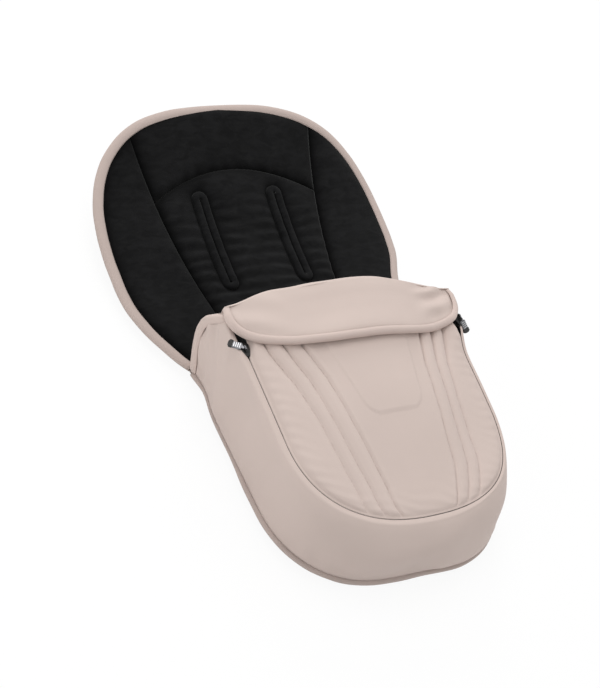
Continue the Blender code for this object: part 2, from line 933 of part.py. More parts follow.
def collar_layer(name, low, high, material):
    flat = [[collar_height(x, run) for x, run in row] for row in collar_rows]
    lower = [[height + low for height in row] for row in flat]
    upper = [[height + high for height in row] for row in flat]
    return layer(name, collar_rows, lower, upper, level_place, material, collar_hinge)


collar_low = -collar_half - gap - collar_lining
collar_high = collar_half + gap + collar_outer
collar_layer("collar_lining", collar_low, -collar_half - gap, lining_cloth)
collar_layer("collar_wadding", -collar_half, collar_half, fill)
collar_layer("collar_outer", collar_half + gap, collar_high, cloth)

# Binding along the collar's side and near edges
collar_edge = [(collar_rows[place][-1], collar_rows[place][-2]) for place in
               reversed(range(len(collar_rows)))]
corner_edge, corner_across = collar_rows[0][-1], collar_rows[1][-2]
collar_edge[-1] = (corner_edge, corner_across)
collar_edge += [(collar_rows[0][place], collar_rows[1][place]) for place in
                reversed(range(len(collar_across) - 1))]


def collar_ring(edge, side):
    """Folded binding at one point of the collar's edge, facing away from the cloth."""
    (x, run), (inner_x, inner_run) = edge
    size = math.hypot(x - inner_x, run - inner_run)
    edge_height, inner_height = collar_height(x, run), collar_height(inner_x, inner_run)
    lean_x, lean_run = (x - inner_x) / size, (run - inner_run) / size
    section = (
        (-collar_binding_depth, -1, 1), (binding_overhang, -1, 1),
        (binding_overhang, 1, 1), (-collar_binding_depth, 1, 1),
        (-collar_binding_depth, 1, 0), (gap, 1, 0), (gap, -1, 0), (-collar_binding_depth, -1, 0),
    )
    places = []
    for reach, face, outside in section:
        at_x, at_run = x + lean_x * reach, run + lean_run * reach
        level = collar_high + gap if face > 0 else collar_low - gap
        cloth_height = mix(edge_height, inner_height, max(-reach, 0) / size)
        height = cloth_height + level + face * outside * binding_wall
        places.append(level_place(side * at_x, at_run, height))
    return places


collar_rings = [collar_ring(edge, 1) for edge in collar_edge]
collar_rings += [collar_ring(edge, -1) for edge in reversed(collar_edge[:-1])]
bar("collar_binding", collar_rings, piping_cloth, collar_hinge)


# Zip chain: a coil on its tape along the wall and another along the apron
def zip_run_stations(end_run):
    foot = [zip_station(step / wall_foot_count, False) for step in range(wall_foot_count)]
    end_share = (end_run - zip_centre_run) / (zip_mouth_run - zip_centre_run)
    return foot + [zip_station(end_share * step / 3, True) for step in range(4)]


def chain_ring(station, side, facing):
    lower = [
        (coil_inner, -coil_half_height), (coil_outer, -coil_half_height),
        (coil_outer, -tape_half_height),
    ]
    if facing > 0:
        lower += [(tape_outer, -tape_half_height)]
    else:
        lower += [
            (hem_inner, -tape_half_height), (hem_inner, -hem_half_height),
            (apron_tape_outer, -hem_half_height),
        ]
    section = lower + [(reach, -rise) for reach, rise in reversed(lower)]
    places = []
    for reach, rise in section:
        x, run = step_in(station, -facing * reach)
        places.append(level_place(side * x, run, zip_height(run) + rise))
    return places


for name, end_run, facing, carrier in (
    ("wall_zip_chain", wall_chain_end_run, 1, base),
    ("apron_zip_chain", apron_chain_end_run, -1, apron_hinge),
):
    stations = zip_run_stations(end_run)
    rings = [chain_ring(station, -1, facing) for station in reversed(stations[1:])]
    rings += [chain_ring(station, 1, facing) for station in stations]
    bar(name, rings, zip_nylon, carrier)

# Frame of the straight stretch of zip, for the sliders and stops
straight_start = Vector((zip_half_width, zip_centre_run, zip_height(zip_centre_run)))
straight_end = Vector((zip_mouth_half_width, zip_mouth_run, zip_mouth_height))


def zip_frame(run, side):
    """Place on the zip's straight stretch with its outward, headward and upward directions."""
    share = (run - zip_centre_run) / (zip_mouth_run - zip_centre_run)
    place = straight_start.lerp(straight_end, share)
    headward = (straight_end - straight_start).normalized()
    place = Vector((side * place.x, place.y - middle_run, place.z))
    headward = Vector((side * headward.x, headward.y, headward.z))
    upward = Vector((0, -headward.z, headward.y)).normalized()
    outward = headward.cross(upward) * side
    return place, outward, headward, upward


def block(shape, frame, low, high):
    """Box between two corners given as outward, headward and upward steps."""
    place, outward, headward, upward = frame
    rings = []
    for rise in (low[2], high[2]):
        rings.append([
            shape.verts.new(place + outward * out + headward * head + upward * rise)
            for out, head in ((low[0], low[1]), (high[0], low[1]),
                              (high[0], high[1]), (low[0], high[1]))
        ])
    for near in range(4):
        far = (near + 1) % 4
        shape.faces.new((rings[0][near], rings[0][far], rings[1][far], rings[1][near]))
    shape.faces.new(rings[0])
    shape.faces.new(rings[1])


def built(name, blocks, frame, material, carrier):
    """One solid from overlapping blocks, joined by union."""
    made = None
    for number, (low, high) in enumerate(blocks):
        shape = bmesh.new()
        block(shape, frame, low, high)
        if made is None:
            made = piece(name, shape, material, carrier)
            continue
        helper = piece(name + "_part_" + str(number), shape, material, carrier)
        helper.hide_render = True
        helper.display_type = "WIRE"
        join = made.modifiers.new(helper.name, "BOOLEAN")
        join.operation = "UNION"
        join.solver = "EXACT"
        join.object = helper
    return made


for label, side in (("left", -1), ("right", 1)):
    # Crimped stop at the top of the wall's coil
    frame = zip_frame(stop_run, side)
    shape = bmesh.new()
    stop_inner = coil_inner - stop_wall - gap / 2
    stop_outer = coil_outer + stop_wall / 2
    stop_low, stop_high = coil_half_height + gap / 2, coil_half_height + gap / 2 + stop_wall
    stop_blocks = (
        ((stop_inner, -stop_half_length, stop_low), (stop_outer, stop_half_length, stop_high)),
        ((stop_inner, -stop_half_length, -stop_high), (stop_outer, stop_half_length, -stop_low)),
        ((stop_inner, -stop_half_length, -stop_high),
         (coil_inner - gap / 2, stop_half_length, stop_high)),
    )
    shape.free()
    built("zip_stop_" + label, stop_blocks, frame, slider_black, base)

    # Slider: two plates with turned-in flanges, a divider and the bridge for its pull
    frame = zip_frame(slider_run, side)
    slider = holder("slider_" + label + "_carrier", frame[0])
    plate_high = slider_plate_low + slider_plate
    flange_low = tape_half_height + gap
    post_reach = slider_half_length - post_half_length * 2
    overlap = slider_plate / 4
    bar_top = bar_height + bar_radius
    slider_blocks = [
        ((-slider_half_width, -slider_half_length, slider_plate_low),
         (slider_half_width, slider_half_length, plate_high)),
        ((-slider_half_width, -slider_half_length, -plate_high),
         (slider_half_width, slider_half_length, -slider_plate_low)),
        ((-slider_divider_half, slider_half_length - slider_divider_length, -plate_high + overlap),
         (slider_divider_half, slider_half_length - overlap, plate_high - overlap)),
    ]
    for facing in (-1, 1):
        ends = sorted((facing * (slider_half_width - slider_flange),
                       facing * (slider_half_width - overlap / 4)))
        for rise in (-1, 1):
            levels = sorted((rise * flange_low, rise * (plate_high - overlap)))
            slider_blocks.append((
                (ends[0], overlap / 2 - slider_half_length, levels[0]),
                (ends[1], slider_half_length - overlap / 2, levels[1]),
            ))
    for end in (-1, 1):
        head_steps = sorted((end * post_reach, end * (post_reach + post_half_length)))
        slider_blocks.append((
            (bar_set - post_half_width, head_steps[0], plate_high - overlap),
            (bar_set + post_half_width, head_steps[1], bar_top),
        ))
    slider_blocks.append((
        (bar_set - bar_radius, -post_reach - overlap, bar_height - bar_radius),
        (bar_set + bar_radius, post_reach + overlap, bar_top - overlap / 2),
    ))
    built("slider_" + label, slider_blocks, frame, slider_black, slider)

    # Pull: an eye round the slider's bar and a flat tab that lies out over the wall
    place, outward, headward, upward = frame
    pivot = place + outward * bar_set + upward * bar_height
    pull = holder("pull_" + label + "_carrier", pivot)
    tab_out = (outward - upward * pull_slope_share).normalized()
    tab_up = (upward + outward * pull_slope_share).normalized()
    eye_count = 12
    rings = []
    for step in range(eye_count):
        angle = 2 * math.pi * step / eye_count
        spoke = tab_out * math.cos(angle) + tab_up * math.sin(angle)
        rings.append([
            pivot + spoke * pull_eye_inner - headward * pull_eye_half_length,
            pivot + spoke * pull_eye_outer - headward * pull_eye_half_length,
            pivot + spoke * pull_eye_outer + headward * pull_eye_half_length,
            pivot + spoke * pull_eye_inner + headward * pull_eye_half_length,
        ])
    eye = bar("pull_" + label, rings, pull_silver, pull, closed=True)
    tab_frame = (pivot, tab_out, headward, tab_up)
    shape = bmesh.new()
    tab_start = (pull_eye_inner + pull_eye_outer) / 2
    waist_end = pull_eye_outer * 2
    block(
        shape, tab_frame, (tab_start, -pull_eye_half_length * 0.9, -pull_half_thickness),
        (waist_end + pull_half_thickness, pull_eye_half_length * 0.9, pull_half_thickness),
    )
    neck = piece("pull_" + label + "_neck", shape, pull_silver, pull)
    shape = bmesh.new()
    block(
        shape, tab_frame, (waist_end, -pull_half_width, -pull_half_thickness * 1.1),
        (pull_length, pull_half_width, pull_half_thickness * 1.1),
    )
    tab = piece("pull_" + label + "_tab", shape, pull_silver, pull)
    for helper in (neck, tab):
        helper.hide_render = True
        helper.display_type = "WIRE"
        join = eye.modifiers.new(helper.name, "BOOLEAN")
        join.operation = "UNION"
        join.solver = "EXACT"
        join.object = helper
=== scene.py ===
import json
import math

import bmesh
import bpy
import numpy as np
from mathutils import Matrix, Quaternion, Vector


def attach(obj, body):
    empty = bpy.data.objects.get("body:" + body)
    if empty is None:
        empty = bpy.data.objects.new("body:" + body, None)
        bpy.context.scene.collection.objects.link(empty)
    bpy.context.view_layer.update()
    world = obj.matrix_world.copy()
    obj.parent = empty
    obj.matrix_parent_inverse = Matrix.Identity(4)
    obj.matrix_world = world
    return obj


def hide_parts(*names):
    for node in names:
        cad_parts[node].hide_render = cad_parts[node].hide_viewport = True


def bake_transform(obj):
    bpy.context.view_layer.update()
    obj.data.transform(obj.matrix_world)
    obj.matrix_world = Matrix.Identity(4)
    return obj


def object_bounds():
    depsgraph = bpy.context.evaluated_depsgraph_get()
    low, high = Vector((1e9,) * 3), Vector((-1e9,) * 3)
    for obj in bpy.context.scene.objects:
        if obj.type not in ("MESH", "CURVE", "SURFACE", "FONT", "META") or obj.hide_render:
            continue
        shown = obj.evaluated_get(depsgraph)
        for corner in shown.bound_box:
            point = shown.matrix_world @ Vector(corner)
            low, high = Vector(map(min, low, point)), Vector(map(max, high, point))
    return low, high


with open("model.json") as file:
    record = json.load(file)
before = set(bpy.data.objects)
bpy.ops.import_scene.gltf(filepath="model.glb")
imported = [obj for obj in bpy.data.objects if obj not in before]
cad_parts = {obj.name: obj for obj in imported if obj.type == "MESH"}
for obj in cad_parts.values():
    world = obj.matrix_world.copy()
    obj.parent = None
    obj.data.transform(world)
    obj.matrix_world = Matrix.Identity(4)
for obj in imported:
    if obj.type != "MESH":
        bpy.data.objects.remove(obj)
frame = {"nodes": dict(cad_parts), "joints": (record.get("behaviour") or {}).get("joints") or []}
cad_low, cad_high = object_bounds()

# Photo camera
# A long lens looks down from the left of the foot end. It is turned about its own line of
# sight, so that the footmuff lies aslant in the picture.
lens_mm = 89.98
camera_azimuth = math.radians(-51.29)
camera_elevation = math.radians(44.79)
camera_roll = math.radians(33.09)
camera_distance = 2.5
aim = Vector((-0.0331, -0.0210, 0.060))


def placed(name, data):
    """Object for a mesh, a lamp or a camera, put in the scene."""
    made = bpy.data.objects.new(name, data)
    bpy.context.scene.collection.objects.link(made)
    return made


camera = placed("photo_camera", bpy.data.cameras.new("photo_camera"))
bpy.context.scene.camera = camera
sight = Vector((
    math.sin(camera_azimuth) * math.cos(camera_elevation),
    -math.cos(camera_azimuth) * math.cos(camera_elevation),
    math.sin(camera_elevation),
))
camera.data.lens = lens_mm
camera.location = aim + sight * camera_distance
camera.rotation_mode = "QUATERNION"
upright = sight.to_track_quat("Z", "Y")
camera.rotation_quaternion = upright @ Quaternion((0, 0, 1), camera_roll)
bpy.context.scene.view_settings.view_transform = "Standard"

# Studio
# A white sweep lit by four soft lamps, brightest above and at the head, as for a catalogue.
# The camera sees the floor almost white, and it keeps a faint shadow under the pad.
floor_size = 8.0
floor_drop = 0.0006
floor_color = (0.93, 0.93, 0.93, 1)
floor_roughness = 0.9
floor_white_share = 0.92
world_level = 0.52
white = (1, 1, 1, 1)
lamps = (
    ("top_softbox", (-0.2, 1.0, 2.5), 1.9, 30),
    ("left_softbox", (-2.4, -0.3, 1.5), 1.4, 17),
    ("head_softbox", (0.7, 2.3, 1.5), 1.2, 26),
    ("right_softbox", (2.2, -1.5, 0.9), 1.6, 14),
)


def added(tree, kind, out, inputs=None, **settings):
    """Adds a node to a tree, fed by plain values or by other nodes, and gives its output."""
    node = tree.nodes.new(kind)
    for label, value in settings.items():
        setattr(node, label, value)
    for label, value in (inputs or {}).items():
        if isinstance(value, bpy.types.NodeSocket):
            tree.links.new(value, node.inputs[label])
        else:
            node.inputs[label].default_value = value
    return node.outputs[out]


def plain_finish(name, values):
    """Material with plain values on its surface, with its tree and its surface node."""
    made = bpy.data.materials.new(name)
    made.use_nodes = True
    surface = made.node_tree.nodes["Principled BSDF"]
    for label, value in values.items():
        surface.inputs[label].default_value = value
    return made, made.node_tree, surface


world = bpy.data.worlds.new("white_room")
bpy.context.scene.world = world
world.use_nodes = True
room = world.node_tree
room_light = room.nodes["Background"]
room_light.inputs["Color"].default_value = white
room_light.inputs["Strength"].default_value = world_level
shown_room = added(room, "ShaderNodeMixShader", "Shader", {
    "Fac": added(room, "ShaderNodeLightPath", "Is Camera Ray"),
    1: room_light.outputs["Background"],
    2: added(room, "ShaderNodeBackground", "Background", {"Color": white}),
})
room.links.new(shown_room, room.nodes["World Output"].inputs["Surface"])

for lamp_name, place, size, power in lamps:
    light = bpy.data.lights.new(lamp_name, "AREA")
    light.shape = "DISK"
    light.size = size
    light.energy = power
    lamp = placed(lamp_name, light)
    lamp.location = place
    lamp.rotation_mode = "QUATERNION"
    lamp.rotation_quaternion = Vector(place).to_track_quat("Z", "Y")

half_floor = floor_size / 2
floor_mesh = bpy.data.meshes.new("floor")
floor_corners = [
    (x * half_floor, y * half_floor, -floor_drop) for x, y in ((-1, -1), (1, -1), (1, 1), (-1, 1))
]
floor_mesh.from_pydata(floor_corners, [], [(0, 1, 2, 3)])
floor = placed("floor", floor_mesh)
floor_paint, paint, matte = plain_finish("floor_white", {
    "Base Color": floor_color, "Roughness": floor_roughness,
})
white_share = added(paint, "ShaderNodeMath", "Value", {
    0: added(paint, "ShaderNodeLightPath", "Is Camera Ray"), 1: floor_white_share,
}, operation="MULTIPLY")
shown_floor = added(paint, "ShaderNodeMixShader", "Shader", {
    "Fac": white_share, 1: matte.outputs["BSDF"],
    2: added(paint, "ShaderNodeEmission", "Emission", {"Color": white}),
})
paint.links.new(shown_floor, paint.nodes["Material Output"].inputs["Surface"])
floor_mesh.materials.append(floor_paint)

# Pad shell
# The back of the liner: plain outer cloth drawn up round a flat layer of wadding, in one
# piece from foot to head. It bends where the seat meets the back of the pushchair.
piping_overhang = 0.0015
foot_seam_y = cad_low.y + piping_overhang
pad_length = 0.8375
bag_half_width = 0.198
back_half_width = 0.257
foot_round = 0.165
head_round = 0.270
foot_power = 2.25
zip_power = 2.40
head_power = 2.88
head_middle = pad_length - head_round
mouth_run = 0.398
fold_run = 0.457
bend_run = 0.505
bend_radius = 0.600
rim_under = 0.0128
rim_over = 0.0153
lip_width = 0.011
roll_width = 0.045
spine_inset = 0.090
slack_height = 0.0004
sunk_in, sunk_down, slider_hold = 0.0070, 0.0085, 0.75
slip_in, slip_footward = 0.0040, 0.0110
corner_slip, crest_slip = 0.0060, 0.0065
head_aside = 0.0045
right_drawn_in, left_drawn_in = 0.0165, 0.0065
curl_headward, curl_up = 0.0085, 0.0125
cloth_color = (0.600, 0.497, 0.452)
# The shell's colour is the outer cloth's, darkened: painted shade on the band round the pad
shell_shaded_color = (0.40, 0.325, 0.295)
thread_pitch = 0.0007


def smooth(share):
    share = np.clip(share, 0, 1)
    return share * share * (3 - 2 * share)


def past(value, start, reach):
    """0 up to a start, 1 from a reach beyond it on, and smooth between the two."""
    return smooth((value - start) / reach)


def short_of(value, end, reach):
    """1 up to a reach before an end, 0 from the end on, and smooth between the two."""
    return smooth((end - value) / reach)


def about(value, middle, spread):
    """1 at a middle value, fading out on both sides of it over a spread."""
    return np.exp(-(((value - middle) / spread) ** 2))


def mix(first, second, share):
    return first + (second - first) * share


def on_pad(x, run, height):
    """Places at a height over the pad, which is flat under the seat and curls up at the head."""
    turn = np.maximum(run - bend_run, 0) / bend_radius
    arm = bend_radius - height
    y = foot_seam_y + np.minimum(run, bend_run) + arm * np.sin(turn)
    return np.stack(np.broadcast_arrays(x, y, bend_radius - arm * np.cos(turn)), -1)


def settled(places):
    """Places once the empty footmuff has settled, as it lies in the picture. The bag's right
    side has sunk in, less where the slider holds it up, and slipped footward, as have the
    crest and the left corner of its mouth. Both edges of the pad are drawn in beside the
    bag, its head lies a little to the right, and the foot's lower edge curls up."""
    places = np.array(places, float)
    x, run, z = places[..., 0], places[..., 1] - foot_seam_y, places[..., 2]
    in_bag = past(run, 0.02, 0.15) * (1 - past(run, 0.425, 0.05)) * past(z, 0, 0.11)
    held_up = slider_hold * about(run, 0.335, 0.028) * past(x, 0.15, 0.03)
    sunk = past(x, 0.02, 0.15) * in_bag * (1 - held_up)
    before_mouth = 1 - past(run, 0.43, 0.04)
    slipped = past(x, 0, 0.2) * past(z, 0.07, 0.06) * past(run, 0.22, 0.12) * before_mouth
    corner = past(-x, 0.12, 0.06) * past(z, 0.10, 0.04) * past(run, 0.35, 0.05)
    crest = past(x, -0.16, 0.08) * past(z, 0.115, 0.03) * past(run, 0.375, 0.03) * before_mouth
    aside = past(np.abs(x), 0.11, 0.10) * past(run, 0.47, 0.10)
    low = 1 - past(z, 0.04, 0.05)
    drawn_in = right_drawn_in * past(x, 0.12, 0.12) * about(run, 0.505, 0.05)
    drawn_in = drawn_in - left_drawn_in * past(-x, 0.10, 0.09) * about(run, 0.36, 0.03)
    curled = short_of(run, 0.15, 0.15) * about(x, -0.01, 0.090) * (1 - past(z, 0.035, 0.08))
    places[..., 0] -= sunk_in * sunk + drawn_in * low + slip_in * slipped - head_aside * aside
    places[..., 1] += (
        curl_headward * curled - slip_footward * slipped - corner_slip * corner
        - crest_slip * crest
    )
    places[..., 2] += curl_up * curled - sunk_down * sunk
    return places


def ripple(across, along, size, seed):
    """Soft unevenness of sewn cloth, from about -1 to 1: crossing waves of about one size."""
    draw = np.random.default_rng(seed)
    total = 0
    for turn, start, stretch in draw.uniform((0, 0, 0.7), (math.pi, math.tau, 1.4), (7, 3)):
        way = across * math.cos(turn) + along * math.sin(turn)
        total = total + np.sin(math.tau * way / (size * stretch) + start)
    return total / 4


def round_end(half_width, length, middle, power, turn, side):
    """Plan points and outward directions on a rounded end; turn 0 is its side."""
    across, along = np.cos(turn).clip(0), np.sin(turn).clip(0)
    x = half_width * across ** (2 / power)
    run = middle + side * length * along ** (2 / power)
    lean_x = across ** (2 - 2 / power) / half_width
    lean_run = side * along ** (2 - 2 / power) / length
    size = np.hypot(lean_x, lean_run)
    return np.stack([x, run], -1), np.stack([lean_x / size, lean_run / size], -1)


def rim_width(run):
    """Half width of the pad at a distance along it."""
    foot = np.clip((foot_round - run) / foot_round, 0, 1)
    head = np.clip((run - head_middle) / head_round, 0, 1)
    flare = np.clip((run - mouth_run) / (head_middle - mouth_run), 0, 1)
    width = mix(bag_half_width, back_half_width, flare * (2 - flare))
    foot_part = (1 - foot**foot_power) ** (1 / foot_power)
    return width * foot_part * (1 - head**head_power) ** (1 / head_power)


foot_turns = np.radians(np.linspace(90, 0, 30, endpoint=False))
foot_rim, foot_lean = round_end(
    bag_half_width, foot_round, foot_round, foot_power, foot_turns, -1,
)
side_runs = np.concatenate([
    np.linspace(foot_round, mouth_run, 30, endpoint=False),
    np.linspace(mouth_run, head_middle, 34, endpoint=False),
])
side_rim = np.stack([rim_width(side_runs), side_runs], -1)
head_rim, head_lean = round_end(
    back_half_width, head_round, head_middle, head_power, np.radians(np.linspace(0, 90, 46)), 1,
)
rim = np.concatenate([foot_rim, side_rim, head_rim])
rim_lean = np.concatenate([foot_lean, np.tile((1.0, 0.0), (len(side_rim), 1)), head_lean])


def mapped(mesh, name, pattern):
    """Stores a flat place for each point of a mesh as a UV map."""
    corners = np.zeros(len(mesh.loops), int)
    mesh.loops.foreach_get("vertex_index", corners)
    mesh.uv_layers.new(name=name).data.foreach_set("uv", pattern[corners].ravel())


def finished(name, mesh, finishes):
    """Object for a mesh, welded, with its faces turned outwards and its materials on it."""
    weld_gap = 0.000005
    shape = bmesh.new()
    shape.from_mesh(mesh)
    bmesh.ops.remove_doubles(shape, verts=shape.verts, dist=weld_gap)
    bmesh.ops.dissolve_degenerate(shape, edges=shape.edges, dist=weld_gap)
    bmesh.ops.recalc_face_normals(shape, faces=shape.faces)
    shape.to_mesh(mesh)
    shape.free()
    mesh.polygons.foreach_set("use_smooth", [True] * len(mesh.polygons))
    for finish in finishes:
        mesh.materials.append(finish)
    return placed(name, mesh)


def sewn(name, face, back, cut, finishes, ends=True, rise=None):
    """Closed piece between a face grid and a back grid of places, with its flat cut as UV.
    A second UV map can hold how far each place has risen from the piece's seams."""
    rows, columns = face.shape[:2]
    front = np.arange(rows * columns).reshape(rows, columns)
    rear = front + rows * columns

    def quads(grid):
        sides = (grid[:-1, :-1], grid[:-1, 1:], grid[1:, 1:], grid[1:, :-1])
        return np.stack(sides, -1).reshape(-1, 4)

    def strip(edge, other):
        return np.stack([edge[1:], edge[:-1], other[:-1], other[1:]], -1)

    faces = [quads(front), quads(rear)[:, ::-1]]
    faces += [strip(front[::-1, 0], rear[::-1, 0]), strip(front[:, -1], rear[:, -1])]
    if ends:
        faces += [strip(front[0], rear[0]), strip(front[-1, ::-1], rear[-1, ::-1])]
    mesh = bpy.data.meshes.new(name)
    places = settled(np.concatenate([face.reshape(-1, 3), back.reshape(-1, 3)]))
    mesh.from_pydata(places.tolist(), [], np.concatenate(faces).tolist())
    mapped(mesh, "cut", np.tile(cut.reshape(-1, 2), (2, 1)))
    if rise is not None:
        mapped(mesh, "rise", np.stack([np.tile(rise.ravel(), 2)] * 2, -1))
    side = np.zeros(len(mesh.polygons), int)
    side[len(faces[0]):len(faces[0]) + len(faces[1])] = len(finishes) - 1
    mesh.polygons.foreach_set("material_index", side)
    return finished(name, mesh, finishes)


def speckle(tree, scale, detail=2):
    """Fine noise over the piece's own places."""
    return added(tree, "ShaderNodeTexNoise", "Fac", {
        "Vector": added(tree, "ShaderNodeTexCoord", "Object"), "Scale": scale, "Detail": detail,
    })


def toned(tree, share, color, darker, lighter):
    """A colour that drifts between a darker and a lighter shade of itself."""
    return added(tree, "ShaderNodeMix", "Result", {
        "Factor": share, "A": (*[part * darker for part in color], 1),
        "B": (*[min(part * lighter, 1) for part in color], 1),
    }, data_type="RGBA")


def multiplied(tree, share, first, second):
    """One colour darkened by another, as far as a share says."""
    return added(tree, "ShaderNodeMix", "Result", {
        "Factor": share, "A": first, "B": second,
    }, data_type="RGBA", blend_type="MULTIPLY")


def embossed(tree, surface, height, strength, distance):
    """Gives a surface the fine relief of its threads, pile or scratches."""
    normal = added(tree, "ShaderNodeBump", "Normal", {
        "Height": height, "Strength": strength, "Distance": distance,
    })
    tree.links.new(normal, surface.inputs["Normal"])


def woven(name, color, pitch, sheen, roughness, relief):
    """Plain woven cloth: two crossing yarns in the flat cut, slight slubs and a soft sheen."""
    cloth, tree, surface = plain_finish(name, {
        "Roughness": roughness, "Sheen Weight": sheen, "Sheen Roughness": 0.45,
        "Specular IOR Level": 0.25,
    })
    flat = added(tree, "ShaderNodeUVMap", "UV", uv_map="cut")
    warp, weft = [
        added(tree, "ShaderNodeTexWave", "Fac", {
            "Vector": flat, "Scale": math.tau / 20 / pitch, "Distortion": 0.6, "Detail Scale": 0.4,
        }, bands_direction=way)
        for way in ("X", "Y")
    ]
    crossing = added(tree, "ShaderNodeMath", "Value", {0: warp, 1: weft}, operation="MAXIMUM")
    blotch = toned(tree, speckle(tree, 14, 3), color, 0.965, 1.03)
    tree.links.new(multiplied(tree, 0.10, blotch, crossing), surface.inputs["Base Color"])
    grain = added(tree, "ShaderNodeMath", "Value", {
        0: speckle(tree, 900), 1: 0.5, 2: crossing,
    }, operation="MULTIPLY_ADD")
    embossed(tree, surface, grain, relief, pitch / 5)
    return cloth


outer_cloth = woven("blush_outer_cloth", cloth_color, thread_pitch, 0.12, 0.86, 0.35)
shell_shaded_cloth = woven("blush_shell_shaded_cloth", shell_shaded_color, thread_pitch, 0.08, 0.9, 0.35)

pad_insets = np.concatenate([
    [0, 0.004, 0.008, lip_width], np.linspace(0.0145, lip_width + roll_width, 14),
])
spine_shares = (0.2, 0.4, 0.6, 0.8, 1)
inner_inset = 0.2
edge_rows = rim[:, None, :] - rim_lean[:, None, :] * pad_insets[None, :, None]
spine_run = mix(spine_inset, foot_round, np.clip(rim[:, 1] / foot_round, 0, 1))
spine_run = np.where(rim[:, 1] > foot_round, rim[:, 1], spine_run)
head_share = (rim[:, 1] - head_middle) / head_round
head_spine = mix(head_middle, pad_length - spine_inset, head_share)
spine_run = np.where(head_share > 0, head_spine, spine_run)
spine = np.stack([np.zeros(len(rim)), spine_run], -1)
inner_rows = [mix(edge_rows[:, -1], spine, share) for share in spine_shares]
half_plan = np.concatenate([edge_rows, np.stack(inner_rows, 1)], 1)
mirrored = half_plan[:, -2::-1] * (-1, 1)
pad_plan = np.concatenate([half_plan, mirrored], 1)
pad_x, pad_run = pad_plan[..., 0], pad_plan[..., 1]
column_inset = np.concatenate([pad_insets, np.full(len(spine_shares), inner_inset)])
column_inset = np.concatenate([column_inset, column_inset[-2::-1]])
under = rim_under * (1 - past(column_inset, lip_width, roll_width))
under = np.tile(under, (len(rim), 1))
slack = ripple(pad_x, pad_run, 0.09, 3) + 1
under = under + slack * slack_height * past(column_inset, 0.03, 0.05)
over = np.full(under.shape, rim_over)
pad_shell = sewn(
    "pad_shell", on_pad(pad_x, pad_run, under), on_pad(pad_x, pad_run, over), pad_plan,
    [shell_shaded_cloth], ends=False,
)

# Plush liner
# Black velour over wadding in four panels: a centre panel with an arched top, a head panel
# above it and a long panel on each side. Each is crowned and drawn down along its seams.
liner_back = 0.0161
liner_edge = 0.0191
liner_puff = 0.0062
seam_draw = 0.0085
seam_fold_width = 0.110
seam_spread = 0.157
arch_run = 0.686
arch_rise = 0.048
wall_base_inset = 0.0128
plush_color = (0.0078, 0.0078, 0.0081)
slot_x = 0.0675
slot_run = 0.611
slot_half_length = 0.0795
slot_half_width = 0.0042
welt_half_width = 0.0132
crotch_run = 0.335
crotch_half_length = 0.0275
low_run = 0.0145
side_low_gap, side_top_gap, least_side_width = 0.004, 0.0015, 0.0006
under_wall = 0.002
wall_end_gap, wall_end_reach = 0.012, 0.006
seam_half_gap = 0.0002
rim_gap = 0.0004
slot_sink, slot_sink_reach = 0.75, 0.009
crease_low_run, crease_high_run, crease_reach = 0.44, 0.72, 0.045
fold_pitch, fold_wander, fold_depth = 0.021, 0.0045, 0.36
dent_size, dent_depth = 0.11, 0.18
arch_pucker_pitch, arch_pucker_reach, arch_pucker_depth = 0.027, 0.02, 0.09
head_dent_size, head_dent_depth = 0.10, 0.16
side_dent_size, side_dent_depth = 0.13, 0.20
tuck_size, tuck_reach, tuck_depth = 0.045, 0.030, 0.28


def plush(name, color, nap_size, sheen, seam_shaded=False):
    """Short velour: near black, with a fine pile and a nap that catches the light in patches.
    The one for the liner panels has painted shade where the panel dips into its seams, as the
    second UV map says."""
    pile, tree, surface = plain_finish(name, {
        "Roughness": 0.95, "Specular IOR Level": 0.03, "Sheen Weight": sheen,
        "Sheen Roughness": 0.5,
    })
    lay = added(tree, "ShaderNodeMapping", "Vector", {
        "Vector": added(tree, "ShaderNodeTexCoord", "Object"), "Scale": (1, 2.2, 1),
    })
    nap = added(tree, "ShaderNodeTexNoise", "Fac", {
        "Vector": lay, "Scale": 1 / nap_size, "Detail": 4, "Distortion": 0.8,
    })
    patches = added(tree, "ShaderNodeMapRange", "Result", {
        "Value": nap, "From Min": 0.35, "From Max": 0.65,
    })
    shown = toned(tree, patches, color, 0.78, 1.3)
    # Painted shade: the colour darkens towards the seams, where the panel dips
    if seam_shaded:
        shade = added(tree, "ShaderNodeMapRange", "Result", {
            "Value": added(tree, "ShaderNodeUVMap", "UV", uv_map="rise"),
            "From Max": 0.75, "To Min": 0.18,
        }, interpolation_type="SMOOTHSTEP")
        shown = multiplied(tree, 1, shown, shade)
    tree.links.new(shown, surface.inputs["Base Color"])
    embossed(tree, surface, speckle(tree, 850, 3), 0.55, 0.0006)
    return pile


black_plush = plush("black_plush_pile", plush_color, 0.022, 0.05)
liner_plush = plush("black_plush_liner", plush_color, 0.022, 0.07, seam_shaded=True)


def seam_x(run):
    return seam_fold_width + (run - fold_run) * seam_spread


def arch_at(x):
    return arch_run + arch_rise * (1 - (x / seam_x(arch_run)) ** 2)


def fading(distance, reach):
    """1 at a seam or an edge and before it, dying away over a reach beyond it."""
    return np.exp(-np.maximum(distance, 0) / reach)


def drawn(distance, reach=seam_draw):
    """How far a panel has swelled at a distance from a seam, from 0 to 1."""
    return 1 - fading(distance, reach)


def rim_distance(x, run):
    """Distance in from the pad's rim, square to it."""
    step = 0.0005
    slope = (rim_width(run + step) - rim_width(run - step)) / (2 * step)
    return (rim_width(run) - np.abs(x)) / np.hypot(1, slope)


def slot_distance(x, run):
    """Distance from the nearer harness slot's line."""
    beyond = np.maximum(np.abs(run - slot_run) - slot_half_length + slot_half_width, 0)
    return np.hypot(np.abs(x) - slot_x, beyond)


